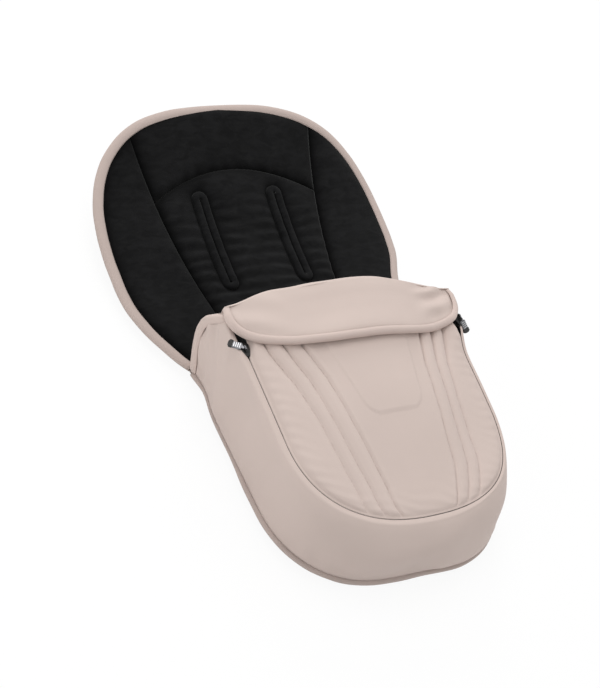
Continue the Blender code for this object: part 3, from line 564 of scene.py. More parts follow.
def liner_panel(name, x, run, swell):
    """Closed plush panel; swell is how far each point has risen from its seams, 0 to 1."""
    face = on_pad(x, run, liner_edge + liner_puff * swell)
    back = on_pad(x, run, np.full(x.shape, liner_back))
    flat = np.stack([x, run], -1)
    return sewn(name, face, back, flat, [liner_plush], rise=np.clip(swell, 0, 1))


# The centre panel, with creases that run out from the slots
across = np.linspace(-1, 1, 111)[None, :]
along = np.concatenate([np.linspace(0, 0.45, 60, endpoint=False), np.linspace(0.45, 1, 120)])
along = along[:, None]
low_x = across * (seam_x(low_run) - seam_half_gap)
high_x = across * (seam_x(arch_run) - seam_half_gap)
x = mix(low_x, high_x, along)
run = mix(low_run, arch_at(high_x) - seam_half_gap, along)
side_gap = (1 - np.abs(across)) * seam_x(run)
swell = drawn(side_gap) * drawn(arch_at(x) - run) * drawn(run - low_run - 0.01)
by_slot = slot_distance(x, run) - welt_half_width
swell = swell * (1 - slot_sink + slot_sink * drawn(np.abs(by_slot), slot_sink_reach))
creased = about(by_slot, 0, crease_reach) * short_of(run, crease_high_run, 0.1)
creased = creased * past(run, crease_low_run, 0.06)
creased = creased * drawn(np.abs(by_slot), 0.014)
folds = np.sin(math.tau * (run + fold_wander * ripple(x, run, 0.08, 11)) / fold_pitch)
folds = np.sign(folds) * np.abs(folds) ** 1.5
dents = dent_depth * ripple(x, run, dent_size, 12) * swell
swell = swell + creased * fold_depth * folds + dents
centre_panel = liner_panel("centre_panel", x, run, swell)

# The head panel, from the arch to the rim, puckered along the arch
halvings = 30
tip_run, beyond = head_middle, pad_length
for _ in range(halvings):
    trial = (tip_run + beyond) / 2
    if rim_width(trial) > seam_x(trial):
        tip_run = trial
    else:
        beyond = trial
arch_x = across * (seam_x(arch_run) - seam_half_gap)
rim_x = across * (seam_x(tip_run) - seam_half_gap)
rim_share = (1 - (np.abs(rim_x) / back_half_width) ** head_power) ** (1 / head_power)
rim_run = np.minimum(head_middle + head_round * rim_share, pad_length - rim_gap)
along = np.linspace(0, 1, 60)[:, None]
x = mix(arch_x, rim_x, along)
run = mix(arch_at(arch_x) + seam_half_gap, rim_run, along)
side_gap = (1 - np.abs(across)) * seam_x(run)
swell = drawn(side_gap) * drawn(run - arch_at(x)) * drawn(rim_distance(x, run) - lip_width)
waves = np.sin(math.tau * x / arch_pucker_pitch + 2 * ripple(x, run, 0.1, 15))
pucker = fading(run - arch_at(x), arch_pucker_reach) * waves * drawn(side_gap)
dents = head_dent_depth * ripple(x, run, head_dent_size, 14) * swell
swell = swell + dents + arch_pucker_depth * pucker
head_panel = liner_panel("head_panel", x, run, swell)

# The side panels, from the seam to the rim, set in under the bag's wall
side_along = np.linspace(0, 1, 190)[:, None]
side_across = np.linspace(0, 1, 46)[None, :]
side_run = mix(low_run + side_low_gap, tip_run - side_top_gap, side_along)
in_bag = short_of(side_run, mouth_run + wall_end_gap, wall_end_reach)
rim_x = rim_width(side_run) - rim_gap - wall_base_inset * in_bag
inner_x = np.minimum(seam_x(side_run) + seam_half_gap, rim_x - least_side_width)
x = mix(inner_x, rim_x, side_across)
run = np.broadcast_to(side_run, x.shape)
from_seam = x - seam_x(run)
under_binding = mix(lip_width, wall_base_inset + under_wall, in_bag)
side_panels = []
for side_name, side in (("left", -1), ("right", 1)):
    swell = drawn(from_seam) * drawn(rim_distance(x, run) - under_binding, 0.010)
    swell = swell * (1 + side_dent_depth * ripple(side * x, run, side_dent_size, 17))
    tucks = tuck_depth * fading(from_seam, tuck_reach)
    tucks = tucks * ripple(side * x * 0.4, run, tuck_size, 19)
    swell = swell + tucks * drawn(from_seam)
    shown = [side * x, run, swell]
    if side < 0:
        shown = [part[:, ::-1] for part in shown]
    side_panels.append(liner_panel("side_panel_" + side_name, *shown))

# Each slot as the middle of its slit and how far the slit's straight part reaches from there
harness_reach = slot_half_length - slot_half_width
slots = {
    "left": (-slot_x, slot_run, 0, harness_reach),
    "right": (slot_x, slot_run, 0, harness_reach),
    "crotch": (0, crotch_run, crotch_half_length - slot_half_width, 0),
}


def round_slot(slot, width, step):
    """Plan points at a width from a slot's line, a step in degrees apart round its ends."""
    middle_x, middle_run, reach_x, reach_run = slot
    turns = np.radians(np.arange(0, 360, step))
    way_x, way_run = np.cos(turns), np.sin(turns)
    x = middle_x + np.sign(way_x.round(6)) * reach_x + width * way_x
    run = middle_run + np.sign(way_run.round(6)) * reach_run + width * way_run
    return np.stack([x, run], -1)


def prism(shape, low, high):
    """Adds a solid between two like loops of places to a bmesh."""
    low, high = ([shape.verts.new(place) for place in loop] for loop in (low, high))
    for near in range(len(low)):
        far = (near + 1) % len(low)
        shape.faces.new((low[near], low[far], high[far], high[near]))
    shape.faces.new(low[::-1])
    shape.faces.new(high)


def slit_through(pieces, slot, deep=-0.01, high=0.05):
    """Cuts one round-ended strap slot straight through the pieces."""
    outline = round_slot(slot, slot_half_width, 15)
    loops = [
        on_pad(outline[:, 0], outline[:, 1], np.full(len(outline), level))
        for level in (deep, high)
    ]
    guide = bmesh.new()
    prism(guide, *loops)
    bmesh.ops.recalc_face_normals(guide, faces=guide.faces)
    mesh = bpy.data.meshes.new("slit_guide")
    guide.to_mesh(mesh)
    guide.free()
    cutter = placed("slit_guide", mesh)
    for piece in pieces:
        cut = piece.modifiers.new("slit", "BOOLEAN")
        cut.operation = "DIFFERENCE"
        cut.solver = "EXACT"
        cut.object = cutter
        seen = piece.evaluated_get(bpy.context.evaluated_depsgraph_get())
        opened = bpy.data.meshes.new_from_object(seen)
        piece.modifiers.remove(cut)
        piece.data = opened
    bpy.data.objects.remove(cutter)


for slot in slots.values():
    slit_through((pad_shell, centre_panel), slot)

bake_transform(pad_shell)
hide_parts("seat_shell", "back_shell", "seat_wadding", "back_wadding")
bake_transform(centre_panel)
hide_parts("centre_liner", "seat_liner")
for panel, node in zip(side_panels, ("side_liner_left", "side_liner_right")):
    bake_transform(panel)
    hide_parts(node)
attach(head_panel, "back")
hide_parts("head_liner")

# Slot welts
# Each harness slot is finished like a large buttonhole: a padded strip of the same plush,
# sewn round the slit and standing a little above the panel. The crotch slot has one too.
welt_inner = 0.0009
welt_rise = 0.0056
welt_foot = 0.0212
welt_sunk = 0.0025
crotch_welt_half_width = 0.0110
loop_step = 0.0045


def travelled(places):
    """Distance run from the first place to each of the next."""
    steps = np.linalg.norm(np.diff(places, axis=0), axis=-1)
    return np.concatenate([np.zeros((1, *steps.shape[1:])), np.cumsum(steps, axis=0)])


def unit(ways):
    return ways / np.linalg.norm(ways, axis=-1, keepdims=True)


def square_to(ahead):
    """Plan direction to the right of the way ahead."""
    ahead = unit(ahead)
    return np.stack([ahead[:, 1], -ahead[:, 0]], -1)


def swept(name, rings, finishes, closed=False):
    """Closed bar through like rings of places; an open one gets flat ends."""
    lengths, around = rings.shape[:2]
    grid = np.arange(lengths * around).reshape(lengths, around)
    rows = np.concatenate([grid, grid[:1]]) if closed else grid
    near, far = rows[:-1], rows[1:]
    turned, far_turned = np.roll(near, -1, 1), np.roll(far, -1, 1)
    faces = [np.stack([near, turned, far_turned, far], -1).reshape(-1, 4)]
    if not closed:
        half = around // 2
        for end in (grid[0], grid[-1]):
            other = end[::-1]
            cap = [end[:half - 1], end[1:half], other[1:half], other[:half - 1]]
            faces.append(np.stack(cap, -1))
    mesh = bpy.data.meshes.new(name)
    mesh.from_pydata(settled(rings.reshape(-1, 3)).tolist(), [], np.concatenate(faces).tolist())
    length, girth = travelled(rings[:, 0]), travelled(rings[0])
    mapped(mesh, "cut", np.stack(np.meshgrid(length, girth, indexing="ij"), -1).reshape(-1, 2))
    return finished(name, mesh, finishes)


def welt(name, slot, outer, seed):
    """Padded strip round a slot, fuller on its crown."""
    loop = round_slot(slot, (welt_inner + outer) / 2, 10)
    centre = []
    for near, far in zip(loop, np.roll(loop, -1, 0)):
        pieces = max(1, int(np.hypot(*(far - near)) / loop_step))
        centre += [mix(near, far, step / pieces) for step in range(pieces)]
    centre = np.array(centre)
    outward = square_to(np.roll(centre, -1, 0) - np.roll(centre, 1, 0))
    turn = np.radians(np.arange(0, 360, 30))
    half = (outer - welt_inner) / 2
    reach = half * np.sign(np.cos(turn)) * np.abs(np.cos(turn)) ** 0.6
    rise = np.sin(turn)
    rise = np.where(rise > 0, np.abs(rise) ** 0.7 * welt_rise, rise * welt_sunk)
    loft = 1 + 0.12 * ripple(centre[:, 0], centre[:, 1], 0.03, seed)
    plan = centre[:, None] + outward[:, None] * reach[None, :, None]
    level = welt_foot + rise[None, :] * loft[:, None]
    rings = on_pad(plan[..., 0], plan[..., 1], level)
    return swept(name, rings, [black_plush], closed=True)


for side_name, seed in (("left", 22), ("right", 24)):
    strip = welt("harness_welt_" + side_name, slots[side_name], welt_half_width, seed)
    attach(strip, "back")
    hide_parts("harness_slot_binding_" + side_name)
strip = welt("crotch_welt", slots["crotch"], crotch_welt_half_width, 29)
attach(strip, "seat")
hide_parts("crotch_slot_binding")

# Edge binding of the pad
# A bias strip of the outer cloth, folded over the raw edges of shell and liner and sewn
# through. It runs round the head from one side of the bag's mouth to the other.
binding_color = (0.600, 0.490, 0.445)
# The edge tape is the binding cloth in a darker copy: painted shade on the pad's rim binding and
# base strip
edge_shaded_color = (0.470, 0.385, 0.350)
thread_color = (0.56, 0.45, 0.41)
tape_pitch = thread_pitch * 0.8
binding_cloth = woven("blush_binding_tape", binding_color, tape_pitch, 0.12, 0.84, 0.3)
edge_shaded_tape = woven("blush_edge_shaded_tape", edge_shaded_color, tape_pitch, 0.10, 0.86, 0.3)
binding_start_run = 0.3930
strip_unevenness = 0.0004
row_inset, row_height = 0.0100, 0.02118
stitch_pitch = 0.0034
stitch_length = 0.0025
stitch_radius = 0.00022
binding_profile = (
    (0.0120, 0.0203), (0.0098, 0.0212), (0.0064, 0.0218), (0.0026, 0.0214), (-0.0008, 0.0200),
    (-0.0026, 0.0181), (-0.0030, 0.0160), (-0.0025, 0.0138), (-0.0006, 0.0120),
    (0.0030, 0.0110), (0.0070, 0.0109), (0.0120, 0.0114),
    (0.0120, 0.0121), (0.0060, 0.0123), (0.0010, 0.0124), (-0.0009, 0.0132),
    (-0.0015, 0.0150), (-0.0015, 0.0170), (-0.0009, 0.0188), (0.0004, 0.0196),
    (0.0030, 0.0197), (0.0060, 0.0197), (0.0090, 0.0197), (0.0120, 0.0197),
)


def bound_edge(name, path, lean, profile, seed):
    """Folded strip swept along a stretch of the pad's rim, slightly uneven as sewn."""
    inset, height = np.array(profile).T
    uneven = strip_unevenness * ripple(path[:, 0], path[:, 1], 0.06, seed)[:, None]
    plan = path[:, None] - lean[:, None] * (inset[None, :] + uneven)[..., None]
    lift = height[None, :] + uneven * 0.6
    return swept(name, on_pad(plan[..., 0], plan[..., 1], lift), [edge_shaded_tape])


past_mouth = rim[:, 1] > binding_start_run
half_path, half_lean = rim[past_mouth], rim_lean[past_mouth]
flip = np.array([-1.0, 1.0])
upper_path = np.concatenate([half_path, half_path[-2::-1] * flip])
upper_lean = np.concatenate([half_lean, half_lean[-2::-1] * flip])
rim_binding = bound_edge("rim_binding", upper_path, upper_lean, binding_profile, 31)
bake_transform(rim_binding)
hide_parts("head_binding", "seat_binding_left", "seat_binding_right")


def stitch_tree(name, crosswise):
    """Node tree that lays short threads along a line, in line with it or across it."""
    tree = bpy.data.node_groups.new(name, "GeometryNodeTree")
    asked = (
        ("Line", "Geometry"), ("Pitch", "Float"), ("Thread length", "Float"),
        ("Thread radius", "Float"), ("Thread", "Material"),
    )
    for label, kind in asked:
        tree.interface.new_socket(label, in_out="INPUT", socket_type="NodeSocket" + kind)
    tree.interface.new_socket("Threads", in_out="OUTPUT", socket_type="NodeSocketGeometry")
    given = tree.nodes.new("NodeGroupInput").outputs
    bead = added(tree, "GeometryNodeMeshUVSphere", "Mesh", {
        "Segments": 6, "Rings": 5, "Radius": 1,
    })
    half = added(tree, "ShaderNodeMath", "Value", {
        0: given["Thread length"], 1: 0.5,
    }, operation="MULTIPLY")
    size = added(tree, "ShaderNodeCombineXYZ", "Vector", {
        "X": given["Thread radius"], "Y": given["Thread radius"], "Z": half,
    })
    thread = added(tree, "GeometryNodeTransform", "Geometry", {"Geometry": bead, "Scale": size})
    way = added(tree, "GeometryNodeInputTangent", "Tangent")
    if crosswise:
        way = added(tree, "ShaderNodeVectorMath", "Vector", {
            0: way, 1: (0, 0, 1),
        }, operation="CROSS_PRODUCT")
    turned = added(tree, "FunctionNodeAlignRotationToVector", "Rotation", {
        "Vector": way,
    }, axis="Z")
    line = added(tree, "GeometryNodeMeshToCurve", "Curve", {"Mesh": given["Line"]})
    spaced = added(tree, "GeometryNodeResampleCurve", "Curve", {
        "Curve": line, "Length": given["Pitch"],
    }, mode="LENGTH")
    laid = added(tree, "GeometryNodeInstanceOnPoints", "Instances", {
        "Points": spaced, "Instance": thread, "Rotation": turned,
    })
    real = added(tree, "GeometryNodeRealizeInstances", "Geometry", {"Geometry": laid})
    dyed = added(tree, "GeometryNodeSetMaterial", "Geometry", {
        "Geometry": real, "Material": given["Thread"],
    })
    tree.links.new(dyed, tree.nodes.new("NodeGroupOutput").inputs["Threads"])
    return tree


seam_stitches = stitch_tree("seam_stitches", False)


def threaded(name, lines, pitch, length, radius, dye, tree=seam_stitches):
    """Plain mesh of threads laid along one or more lines of places."""
    places, edges = [], []
    for line in lines:
        start = len(places)
        places += [tuple(place) for place in settled(line)]
        edges += [(start + step, start + step + 1) for step in range(len(line) - 1)]
    mesh = bpy.data.meshes.new(name + "_line")
    mesh.from_pydata(places, edges, [])
    guide = placed(name + "_line", mesh)
    sewing = guide.modifiers.new("sewing", "NODES")
    sewing.node_group = tree
    values = {"Pitch": pitch, "Thread length": length, "Thread radius": radius, "Thread": dye}
    for socket in tree.interface.items_tree:
        if socket.in_out == "INPUT" and socket.name in values:
            sewing[socket.identifier] = values[socket.name]
    seen = guide.evaluated_get(bpy.context.evaluated_depsgraph_get())
    made = placed(name, bpy.data.meshes.new_from_object(seen))
    bpy.data.objects.remove(guide)
    made.data.polygons.foreach_set("use_smooth", [True] * len(made.data.polygons))
    return made


def thread_dye(name, color):
    """Twisted polyester sewing thread."""
    dye, tree, surface = plain_finish(name, {"Roughness": 0.6, "Sheen Weight": 0.2})
    tree.links.new(toned(tree, speckle(tree, 1400), color, 0.88, 1), surface.inputs["Base Color"])
    return dye


pink_thread = thread_dye("blush_thread", thread_color)
stitch_row = upper_path - upper_lean * row_inset
rim_stitches = threaded(
    "rim_stitches", [on_pad(stitch_row[:, 0], stitch_row[:, 1], row_height)],
    stitch_pitch, stitch_length, stitch_radius, pink_thread,
)
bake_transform(rim_stitches)

# Base piping
# The same strip, carried on round the foot between the pad and the bag's wall. From the
# side it shows as a narrow band under a dark seam.
piping_profile = (
    (0.0080, 0.0190), (0.0040, 0.0192), (0.0006, 0.0191), (-0.0020, 0.0184), (-0.0034, 0.0170),
    (-0.0038, 0.0152), (-0.0033, 0.0134), (-0.0016, 0.0120), (0.0012, 0.0112),
    (0.0050, 0.0110), (0.0080, 0.0112), (0.0080, 0.0118),
    (0.0080, 0.0121), (0.0040, 0.0122), (0.0004, 0.0124), (-0.0010, 0.0132), (-0.0016, 0.0142),
    (-0.0016, 0.0152), (-0.0006, 0.0157), (0.0012, 0.0158), (0.0030, 0.0158),
    (0.0050, 0.0158), (0.0070, 0.0158), (0.0080, 0.0158),
)
beside_seat_in = 0.0030


def beside_seat(run):
    """1 beside the middle of the seat, 0 round the foot and close to the mouth."""
    return past(run, 0.20, 0.06) * (1 - past(run, 0.355, 0.03))


in_foot = rim[:, 1] < binding_start_run
foot_half, foot_half_lean = rim[in_foot], rim_lean[in_foot]
foot_path = np.concatenate([foot_half[:0:-1] * flip, foot_half])
foot_lean = np.concatenate([foot_half_lean[:0:-1] * flip, foot_half_lean])
foot_path = foot_path - beside_seat_in * foot_lean * beside_seat(foot_path[:, 1])[:, None]
base_strip = bound_edge("base_strip", foot_path, foot_lean, piping_profile, 37)
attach(base_strip, "seat")
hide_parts("base_piping")

# Bag wall
# A padded strip of the outer cloth, lined with dark fleece, sewn to the pad below and to
# the zip above. It bows outwards, most at the mouth, and rolls over to hide the zip's coil.
zip_foot_run = 0.052
zip_round = 0.150
zip_half_width = 0.184
zip_mouth_width = 0.188
zip_mouth_run = 0.408
zip_foot_height = 0.110
zip_mouth_height = 0.1497
zip_turn_run = zip_foot_run + zip_round
zip_rise = (zip_mouth_height - zip_foot_height) / (zip_mouth_run - zip_foot_run)
wall_foot = 0.0196
wall_shoulder = 0.0108
wall_bulge = 0.005
mouth_bulge = 0.009
wall_bow_run = 0.440
wall_thickness = 0.0088
top_thickness = wall_thickness / 2
thinnest_edge = 0.00022
zip_edge_gap, zip_taper = 0.0035, 0.010
seam_inset = 0.001
shoulder_above_zip = 0.0006
belly_height_share = 0.78
right_narrowing, right_flatness = 0.5, 0.8
hollow_depth = 0.0115
wall_parted, parting_reach, parting_depth = 0.0060, 0.012, 0.045
mouth_corner_cut = 0.0100
sag_depth, sag_size = 0.0030, 0.15
pull_fold_depth, pull_fold_pitch = 0.0018, 0.034
bottom_tuck_depth, bottom_tuck_size, bottom_tuck_reach = 0.0034, 0.03, 0.016
overhang_out, overhang_height, overhang_spread = 0.0050, 0.016, 0.022
lining_color = (0.020, 0.020, 0.021)
dark_fleece = plush("dark_fleece_lining", lining_color, 0.03, 0.1)


def in_frame(x, run, height):
    """Places over the flat stretch of the pad, in the part's own frame."""
    return np.stack([x, run + foot_seam_y, height], -1)


def zip_height(run):
    return zip_foot_height + (run - zip_foot_run) * zip_rise


def on_zip(line, level=0):
    """Places on a plan line at the zip's height, or at a level from it."""
    return in_frame(line[:, 0], line[:, 1], zip_height(line[:, 1]) + level)


def parting(run):
    """How far the cloth on each side stands off the zip line, from the sliders to the collar."""
    return past(run, 0.316, 0.036)


wall_turns = np.radians(np.linspace(90, 0, 40, endpoint=False))
wall_sides = np.linspace(0, 1, 44)
foot_base, foot_out = round_end(
    bag_half_width, foot_round, foot_round, foot_power, wall_turns, -1,
)
foot_zip, foot_zip_out = round_end(
    zip_half_width, zip_round, zip_turn_run, zip_power, wall_turns, -1,
)
side_base = np.stack([
    np.full(len(wall_sides), bag_half_width), mix(foot_round, mouth_run, wall_sides),
], -1)
side_zip = np.stack([
    mix(zip_half_width, zip_mouth_width, wall_sides),
    mix(zip_turn_run, zip_mouth_run, wall_sides),
], -1)
side_out = np.tile((1.0, 0.0), (len(wall_sides), 1))
base_line = np.concatenate([foot_base, side_base])
base_out = np.concatenate([foot_out, side_out])
zip_line = np.concatenate([foot_zip, side_zip])
zip_out = np.concatenate([foot_zip_out, side_out])
foot_share = np.concatenate([np.linspace(0, 1, len(wall_turns)), np.ones(len(wall_sides))])
mouth_share = np.concatenate([np.zeros(len(wall_turns)), wall_sides])


def both_halves(half):
    """Values on the right half, from the middle of the foot, made into the whole round."""
    sign = np.ones(half.shape[-1]) if half.ndim > 1 else 1
    if half.ndim > 1:
        sign[0] = -1
    return np.concatenate([half[:0:-1] * sign, half])


base_line, base_out, zip_line, zip_out, foot_share, mouth_share = (
    both_halves(half) for half in (base_line, base_out, zip_line, zip_out, foot_share, mouth_share)
)

climb = np.linspace(0, 1, 44)[None, :]
rest = 1 - climb
base_in = base_line - base_out * seam_inset
right_side = past(zip_line[:, 0], 0, 0.12)
shoulder_share = 1 - right_narrowing * right_side
shoulder = zip_line + zip_out * (wall_shoulder * shoulder_share)[:, None]
shoulder_height = zip_height(zip_line[:, 1]) + shoulder_above_zip
bulge = mix(wall_bulge * foot_share, mouth_bulge, mouth_share)
bulge = bulge * (1 - right_flatness * right_side)
hollow = hollow_depth * right_side * (1 - mouth_share)
belly_x = base_in[:, 0] + base_out[:, 0] * (bulge - hollow)
bow_run = np.where(mouth_share > 0, mix(foot_round, wall_bow_run, mouth_share), base_line[:, 1])
bow_run = bow_run - base_out[:, 1] * hollow
belly_height = mix(wall_foot, shoulder_height, belly_height_share)


def bow(first, middle, last):
    """Curve from a first value to a last one, pulled towards a middle one."""
    return (
        first[:, None] * rest**2 + 2 * middle[:, None] * rest * climb + last[:, None] * climb**2
    )


wall_x = bow(base_in[:, 0], belly_x, shoulder[:, 0])
wall_run = bow(base_in[:, 1], bow_run, shoulder[:, 1])
wall_z = bow(np.full(len(bulge), wall_foot), belly_height, shoulder_height)

# The roll over the coil, as steps in towards the zip line and up from it
roll_steps = (
    (0.0098, 0.0013), (0.0086, 0.0017), (0.0074, 0.0019), (0.0062, 0.0019), (0.0050, 0.0018),
    (0.0038, 0.0017), (0.0026, 0.0016), (0.0014, 0.0015), (0.0006, 0.0012), (0.00012, 0.0005),
)
roll_in, roll_up = np.array(roll_steps).T[:, None, :]
reach = roll_in * shoulder_share[:, None]
wall_x = np.concatenate([wall_x, zip_line[:, :1] + zip_out[:, :1] * reach], 1)
wall_run = np.concatenate([wall_run, zip_line[:, 1:] + zip_out[:, 1:] * reach], 1)
wall_z = np.concatenate([wall_z, zip_height(zip_line[:, 1:]) + roll_up], 1)
parted = wall_parted * parting(zip_line[:, 1:])
off_line = np.hypot(wall_x - zip_line[:, :1], wall_run - zip_line[:, 1:])
near_top = past(wall_z - shoulder_height[:, None], -parting_depth, parting_depth)
wall_x = wall_x + zip_out[:, :1] * parted * fading(off_line, parting_reach) * near_top
# The mouth's upper corners are rounded off, under the ends of the collar
rounded = past(mouth_share, 0.84, 0.16)[:, None] * past(wall_z, 0.095, 0.05)
wall_run = wall_run - mouth_corner_cut * rounded
wall_face = in_frame(wall_x, wall_run, wall_z)


def eased(rows, passes=14):
    """Rows of places with their kinks eased out; both ends stay."""
    rows = np.array(rows)
    for _ in range(passes):
        rows[1:-1] = (rows[:-2] + 2 * rows[1:-1] + rows[2:]) / 4
    return rows


soft_corner = eased(wall_face.swapaxes(0, 1)).swapaxes(0, 1)
wall_face = mix(wall_face, soft_corner, past(mouth_share, 0.80, 0.15)[:, None, None])


def outward_of(grid, hint):
    """Unit normals of a grid of places, on the side of a hint direction."""
    normal = np.cross(np.gradient(grid, axis=0), np.gradient(grid, axis=1))
    normal = normal / np.maximum(np.linalg.norm(normal, axis=-1, keepdims=True), 1e-9)
    facing = np.sign((normal * hint).sum(-1, keepdims=True))
    return normal * np.where(facing == 0, 1, facing)


hint = np.concatenate([zip_out, np.full((len(zip_out), 1), 0.6)], 1)[:, None]
wall_normal = outward_of(wall_face, hint)
from_base = wall_z - wall_foot
to_zip = np.linalg.norm(wall_face[:, -1:] - wall_face, axis=-1)
loose = past(from_base, 0, 0.02) * past(to_zip, 0.008, 0.03)
length_round = travelled(base_line)
round_grid = np.broadcast_to(length_round[:, None], wall_z.shape)
sag = sag_depth * ripple(round_grid, wall_z * 1.6, sag_size, 41)
by_mouth = past(mouth_share, 0.62, 0.3)[:, None] * past(wall_z, 0.06, 0.05)
slant = math.tau * (round_grid + 0.9 * wall_z) / pull_fold_pitch
pull_folds = np.sin(slant + ripple(round_grid, wall_z, 0.09, 42) * 1.2)
tucks = fading(from_base, bottom_tuck_reach)
tucks = tucks * ripple(round_grid, wall_z * 0, bottom_tuck_size, 43)
tucks = bottom_tuck_depth * tucks * past(from_base, 0, 0.004)
swing = sag + pull_fold_depth * by_mouth * pull_folds + tucks
wall_face = wall_face + wall_normal * (swing * loose)[..., None]
by_piping = past(base_line[:, 0], -0.03, 0.06) * (1 - past(base_line[:, 1], 0.10, 0.10))
by_piping = by_piping + 0.7 * beside_seat(base_line[:, 1])
overhang = about(from_base, overhang_height, overhang_spread) * past(from_base, 0, 0.006)
overhang = overhang_out * overhang * by_piping[:, None]
wall_face[..., :2] = wall_face[..., :2] + base_out[:, None] * overhang[..., None]
wall_girth = travelled(wall_face.swapaxes(0, 1)).T
depth = mix(wall_thickness, top_thickness, past(wall_girth, 0.07, 0.05))
near_zip = np.clip((to_zip - zip_edge_gap) / zip_taper, 0, 1)
depth = np.maximum(depth * near_zip, thinnest_edge)
wall_back = wall_face - wall_normal * depth[..., None]
bag_wall = sewn(
    "bag_wall", wall_face, wall_back, np.stack([round_grid, wall_girth], -1),
    [outer_cloth, dark_fleece],
)
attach(bag_wall, "seat")
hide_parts("wall_outer", "wall_wadding", "wall_lining")

# Mouth binding
# A fuller folded strip over each upright edge of the bag's mouth, standing on the pad's rim
# and running up under the collar.
mouth_profile = (
    (0.0012, -0.0110), (0.0026, -0.0080), (0.0032, -0.0040), (0.0028, -0.0004), (0.0010, 0.0026),
    (-0.0020, 0.0040),
)
mouth_wrap = 0.0013


def mouth_roll(name, end, before):
    """Folded strip along the wall's edge at one end of its round."""
    edge, outward = wall_face[end], wall_normal[end]
    ahead = unit(edge - wall_face[before])
    thick = np.linalg.norm(edge - wall_back[end], axis=-1)[:, None]
    edge, ahead, outward = eased(edge), eased(ahead), eased(outward)

    def outside(wrap):
        return [
            edge + outward * (out - wrap) + ahead * (forth - wrap) for out, forth in mouth_profile
        ]

    def inside(wrap):
        return [
            edge - outward * (thick + out - wrap) + ahead * (forth - wrap)
            for out, forth in mouth_profile
        ]

    rings = outside(0) + inside(0)[::-1] + inside(mouth_wrap) + outside(mouth_wrap)[::-1]
    return swept(name, np.stack(rings, 1)[:-4], [binding_cloth])


for side_name, end, before in (("left", 0, 4), ("right", -1, -5)):
    roll = mouth_roll("mouth_roll_" + side_name, end, before)
    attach(roll, "seat")
    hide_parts("mouth_binding_" + side_name)

# Zip chain
# Two coils of black nylon side by side, each on its own tape. The cloth rolls over them, so
# they only show where a slider holds the seam apart.
coil_middle = 0.0021
coil_reach = 0.0024
coil_pitch = 0.0014
coil_radius = 0.00058
tape_level = -0.0008
tape_thickness = 0.0004
tape_width = 0.0040
tape_overlap = 0.0008
wall_chain_end, wall_coil_parted = 0.368, 0.0032
apron_chain_end, apron_coil_parted = 0.358, 0.0050
nylon_color = (0.018, 0.018, 0.019)
zip_tape_color = (0.016, 0.016, 0.017)
zip_tape_pitch = 0.0005


def nylon(name, color):
    """Smooth nylon with fine drawn lines."""
    made, tree, surface = plain_finish(name, {"Roughness": 0.42})
    tree.links.new(toned(tree, speckle(tree, 600), color, 0.7, 1.3), surface.inputs["Base Color"])
    return made


black_nylon = nylon("black_nylon", nylon_color)
black_tape = woven("black_zip_tape", zip_tape_color, zip_tape_pitch, 0.05, 0.8, 0.4)
coil_tree = stitch_tree("zip_coil", True)
for name, node, body, facing, end_run, spread in (
    ("wall_zip_coil", "wall_zip_chain", "seat", 1, wall_chain_end, wall_coil_parted),
    (
        "apron_zip_coil", "apron_zip_chain", "apron", -1, apron_chain_end, apron_coil_parted,
    ),
):
    along_zip = zip_line[:, 1] < end_run
    line, out = zip_line[along_zip], zip_out[along_zip] * facing
    away = coil_middle + spread * parting(line[:, 1:])
    coil = threaded(
        name, [on_zip(line + out * away)], coil_pitch, coil_reach, coil_radius, black_nylon,
        coil_tree,
    )
    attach(coil, body)
    edges = [line + out * wide for wide in (away - tape_overlap, away + tape_width)]
    face, back = (
        np.stack([on_zip(edge, level) for edge in edges], 1)
        for level in (tape_level, tape_level - tape_thickness)
    )
    around = length_round[along_zip][:, None]
    cut = np.stack(np.broadcast_arrays(around, np.array([[0, tape_width]])), -1)
    tape = sewn(name.replace("coil", "tape"), face, back, cut, [black_tape])
    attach(tape, body)
    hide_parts(node)

# Apron
# The bag's quilted cover: outer cloth over wadding, lined with fleece. Three rows of quilting
# on each side fan out from the foot, and a plain flat panel lies between them at the top.
apron_clear = 0.00010
apron_end_run = 0.410
apron_corner_width = 0.139
apron_crown, crown_power = 0.016, 2.2
apron_top = 0.0055
apron_under = -0.0045
apron_edge_top, apron_edge_under = 0.0016, 0.0012
apron_edge_flat, apron_edge_reach = 0.0032, 0.0050
lining_edge_flat, lining_edge_reach = 0.0050, 0.0055
edge_dip, lining_edge_dip = 0.0011, 0.0010
apron_parted = 0.0080
least_gap = 0.0002
quilt_runs = (0.060, 0.100, 0.150, 0.210, 0.270, 0.320, 0.360)
quilt_lines = (
    (0.600, 0.560, 0.540, 0.553, 0.562, 0.613, 0.650),
    (0.720, 0.685, 0.670, 0.679, 0.692, 0.744, 0.780),
    (0.830, 0.785, 0.765, 0.772, 0.805, 0.865, 0.895),
)
quilt_spread = 2.3
quilt_groove = 0.0022
quilt_rib = 0.0017
quilt_lean = 0.045
quilt_top_width, quilt_gap_scale = 0.182, 1.6
groove_spread, rib_spread = 0.0026, 0.0105
pinch_depth, pinch_pitch = 0.00035, 0.0068
bib_top_half_width = 0.073
bib_foot_half_width = 0.046
bib_top_run = 0.330
bib_foot_run = 0.203
bib_corner_length, bib_corner_width = 0.022, 0.020
bib_raise = 0.0013
tension_depth = 0.0007
pucker_depth, pucker_pitch, pucker_reach = 0.0007, 0.017, 0.018
gather_depth = 0.0009
apron_half_width = zip_half_width - apron_clear
apron_round = zip_round - apron_clear


def apron_width(run):
    """Half width of the apron at a distance along the bag."""
    foot = np.clip((zip_turn_run - run) / apron_round, 0, 1)
    widen = np.clip((run - zip_turn_run) / (zip_mouth_run - zip_turn_run), 0, 1)
    side = mix(0, zip_mouth_width - zip_half_width, widen)
    return apron_half_width * (1 - foot**zip_power) ** (1 / zip_power) + side


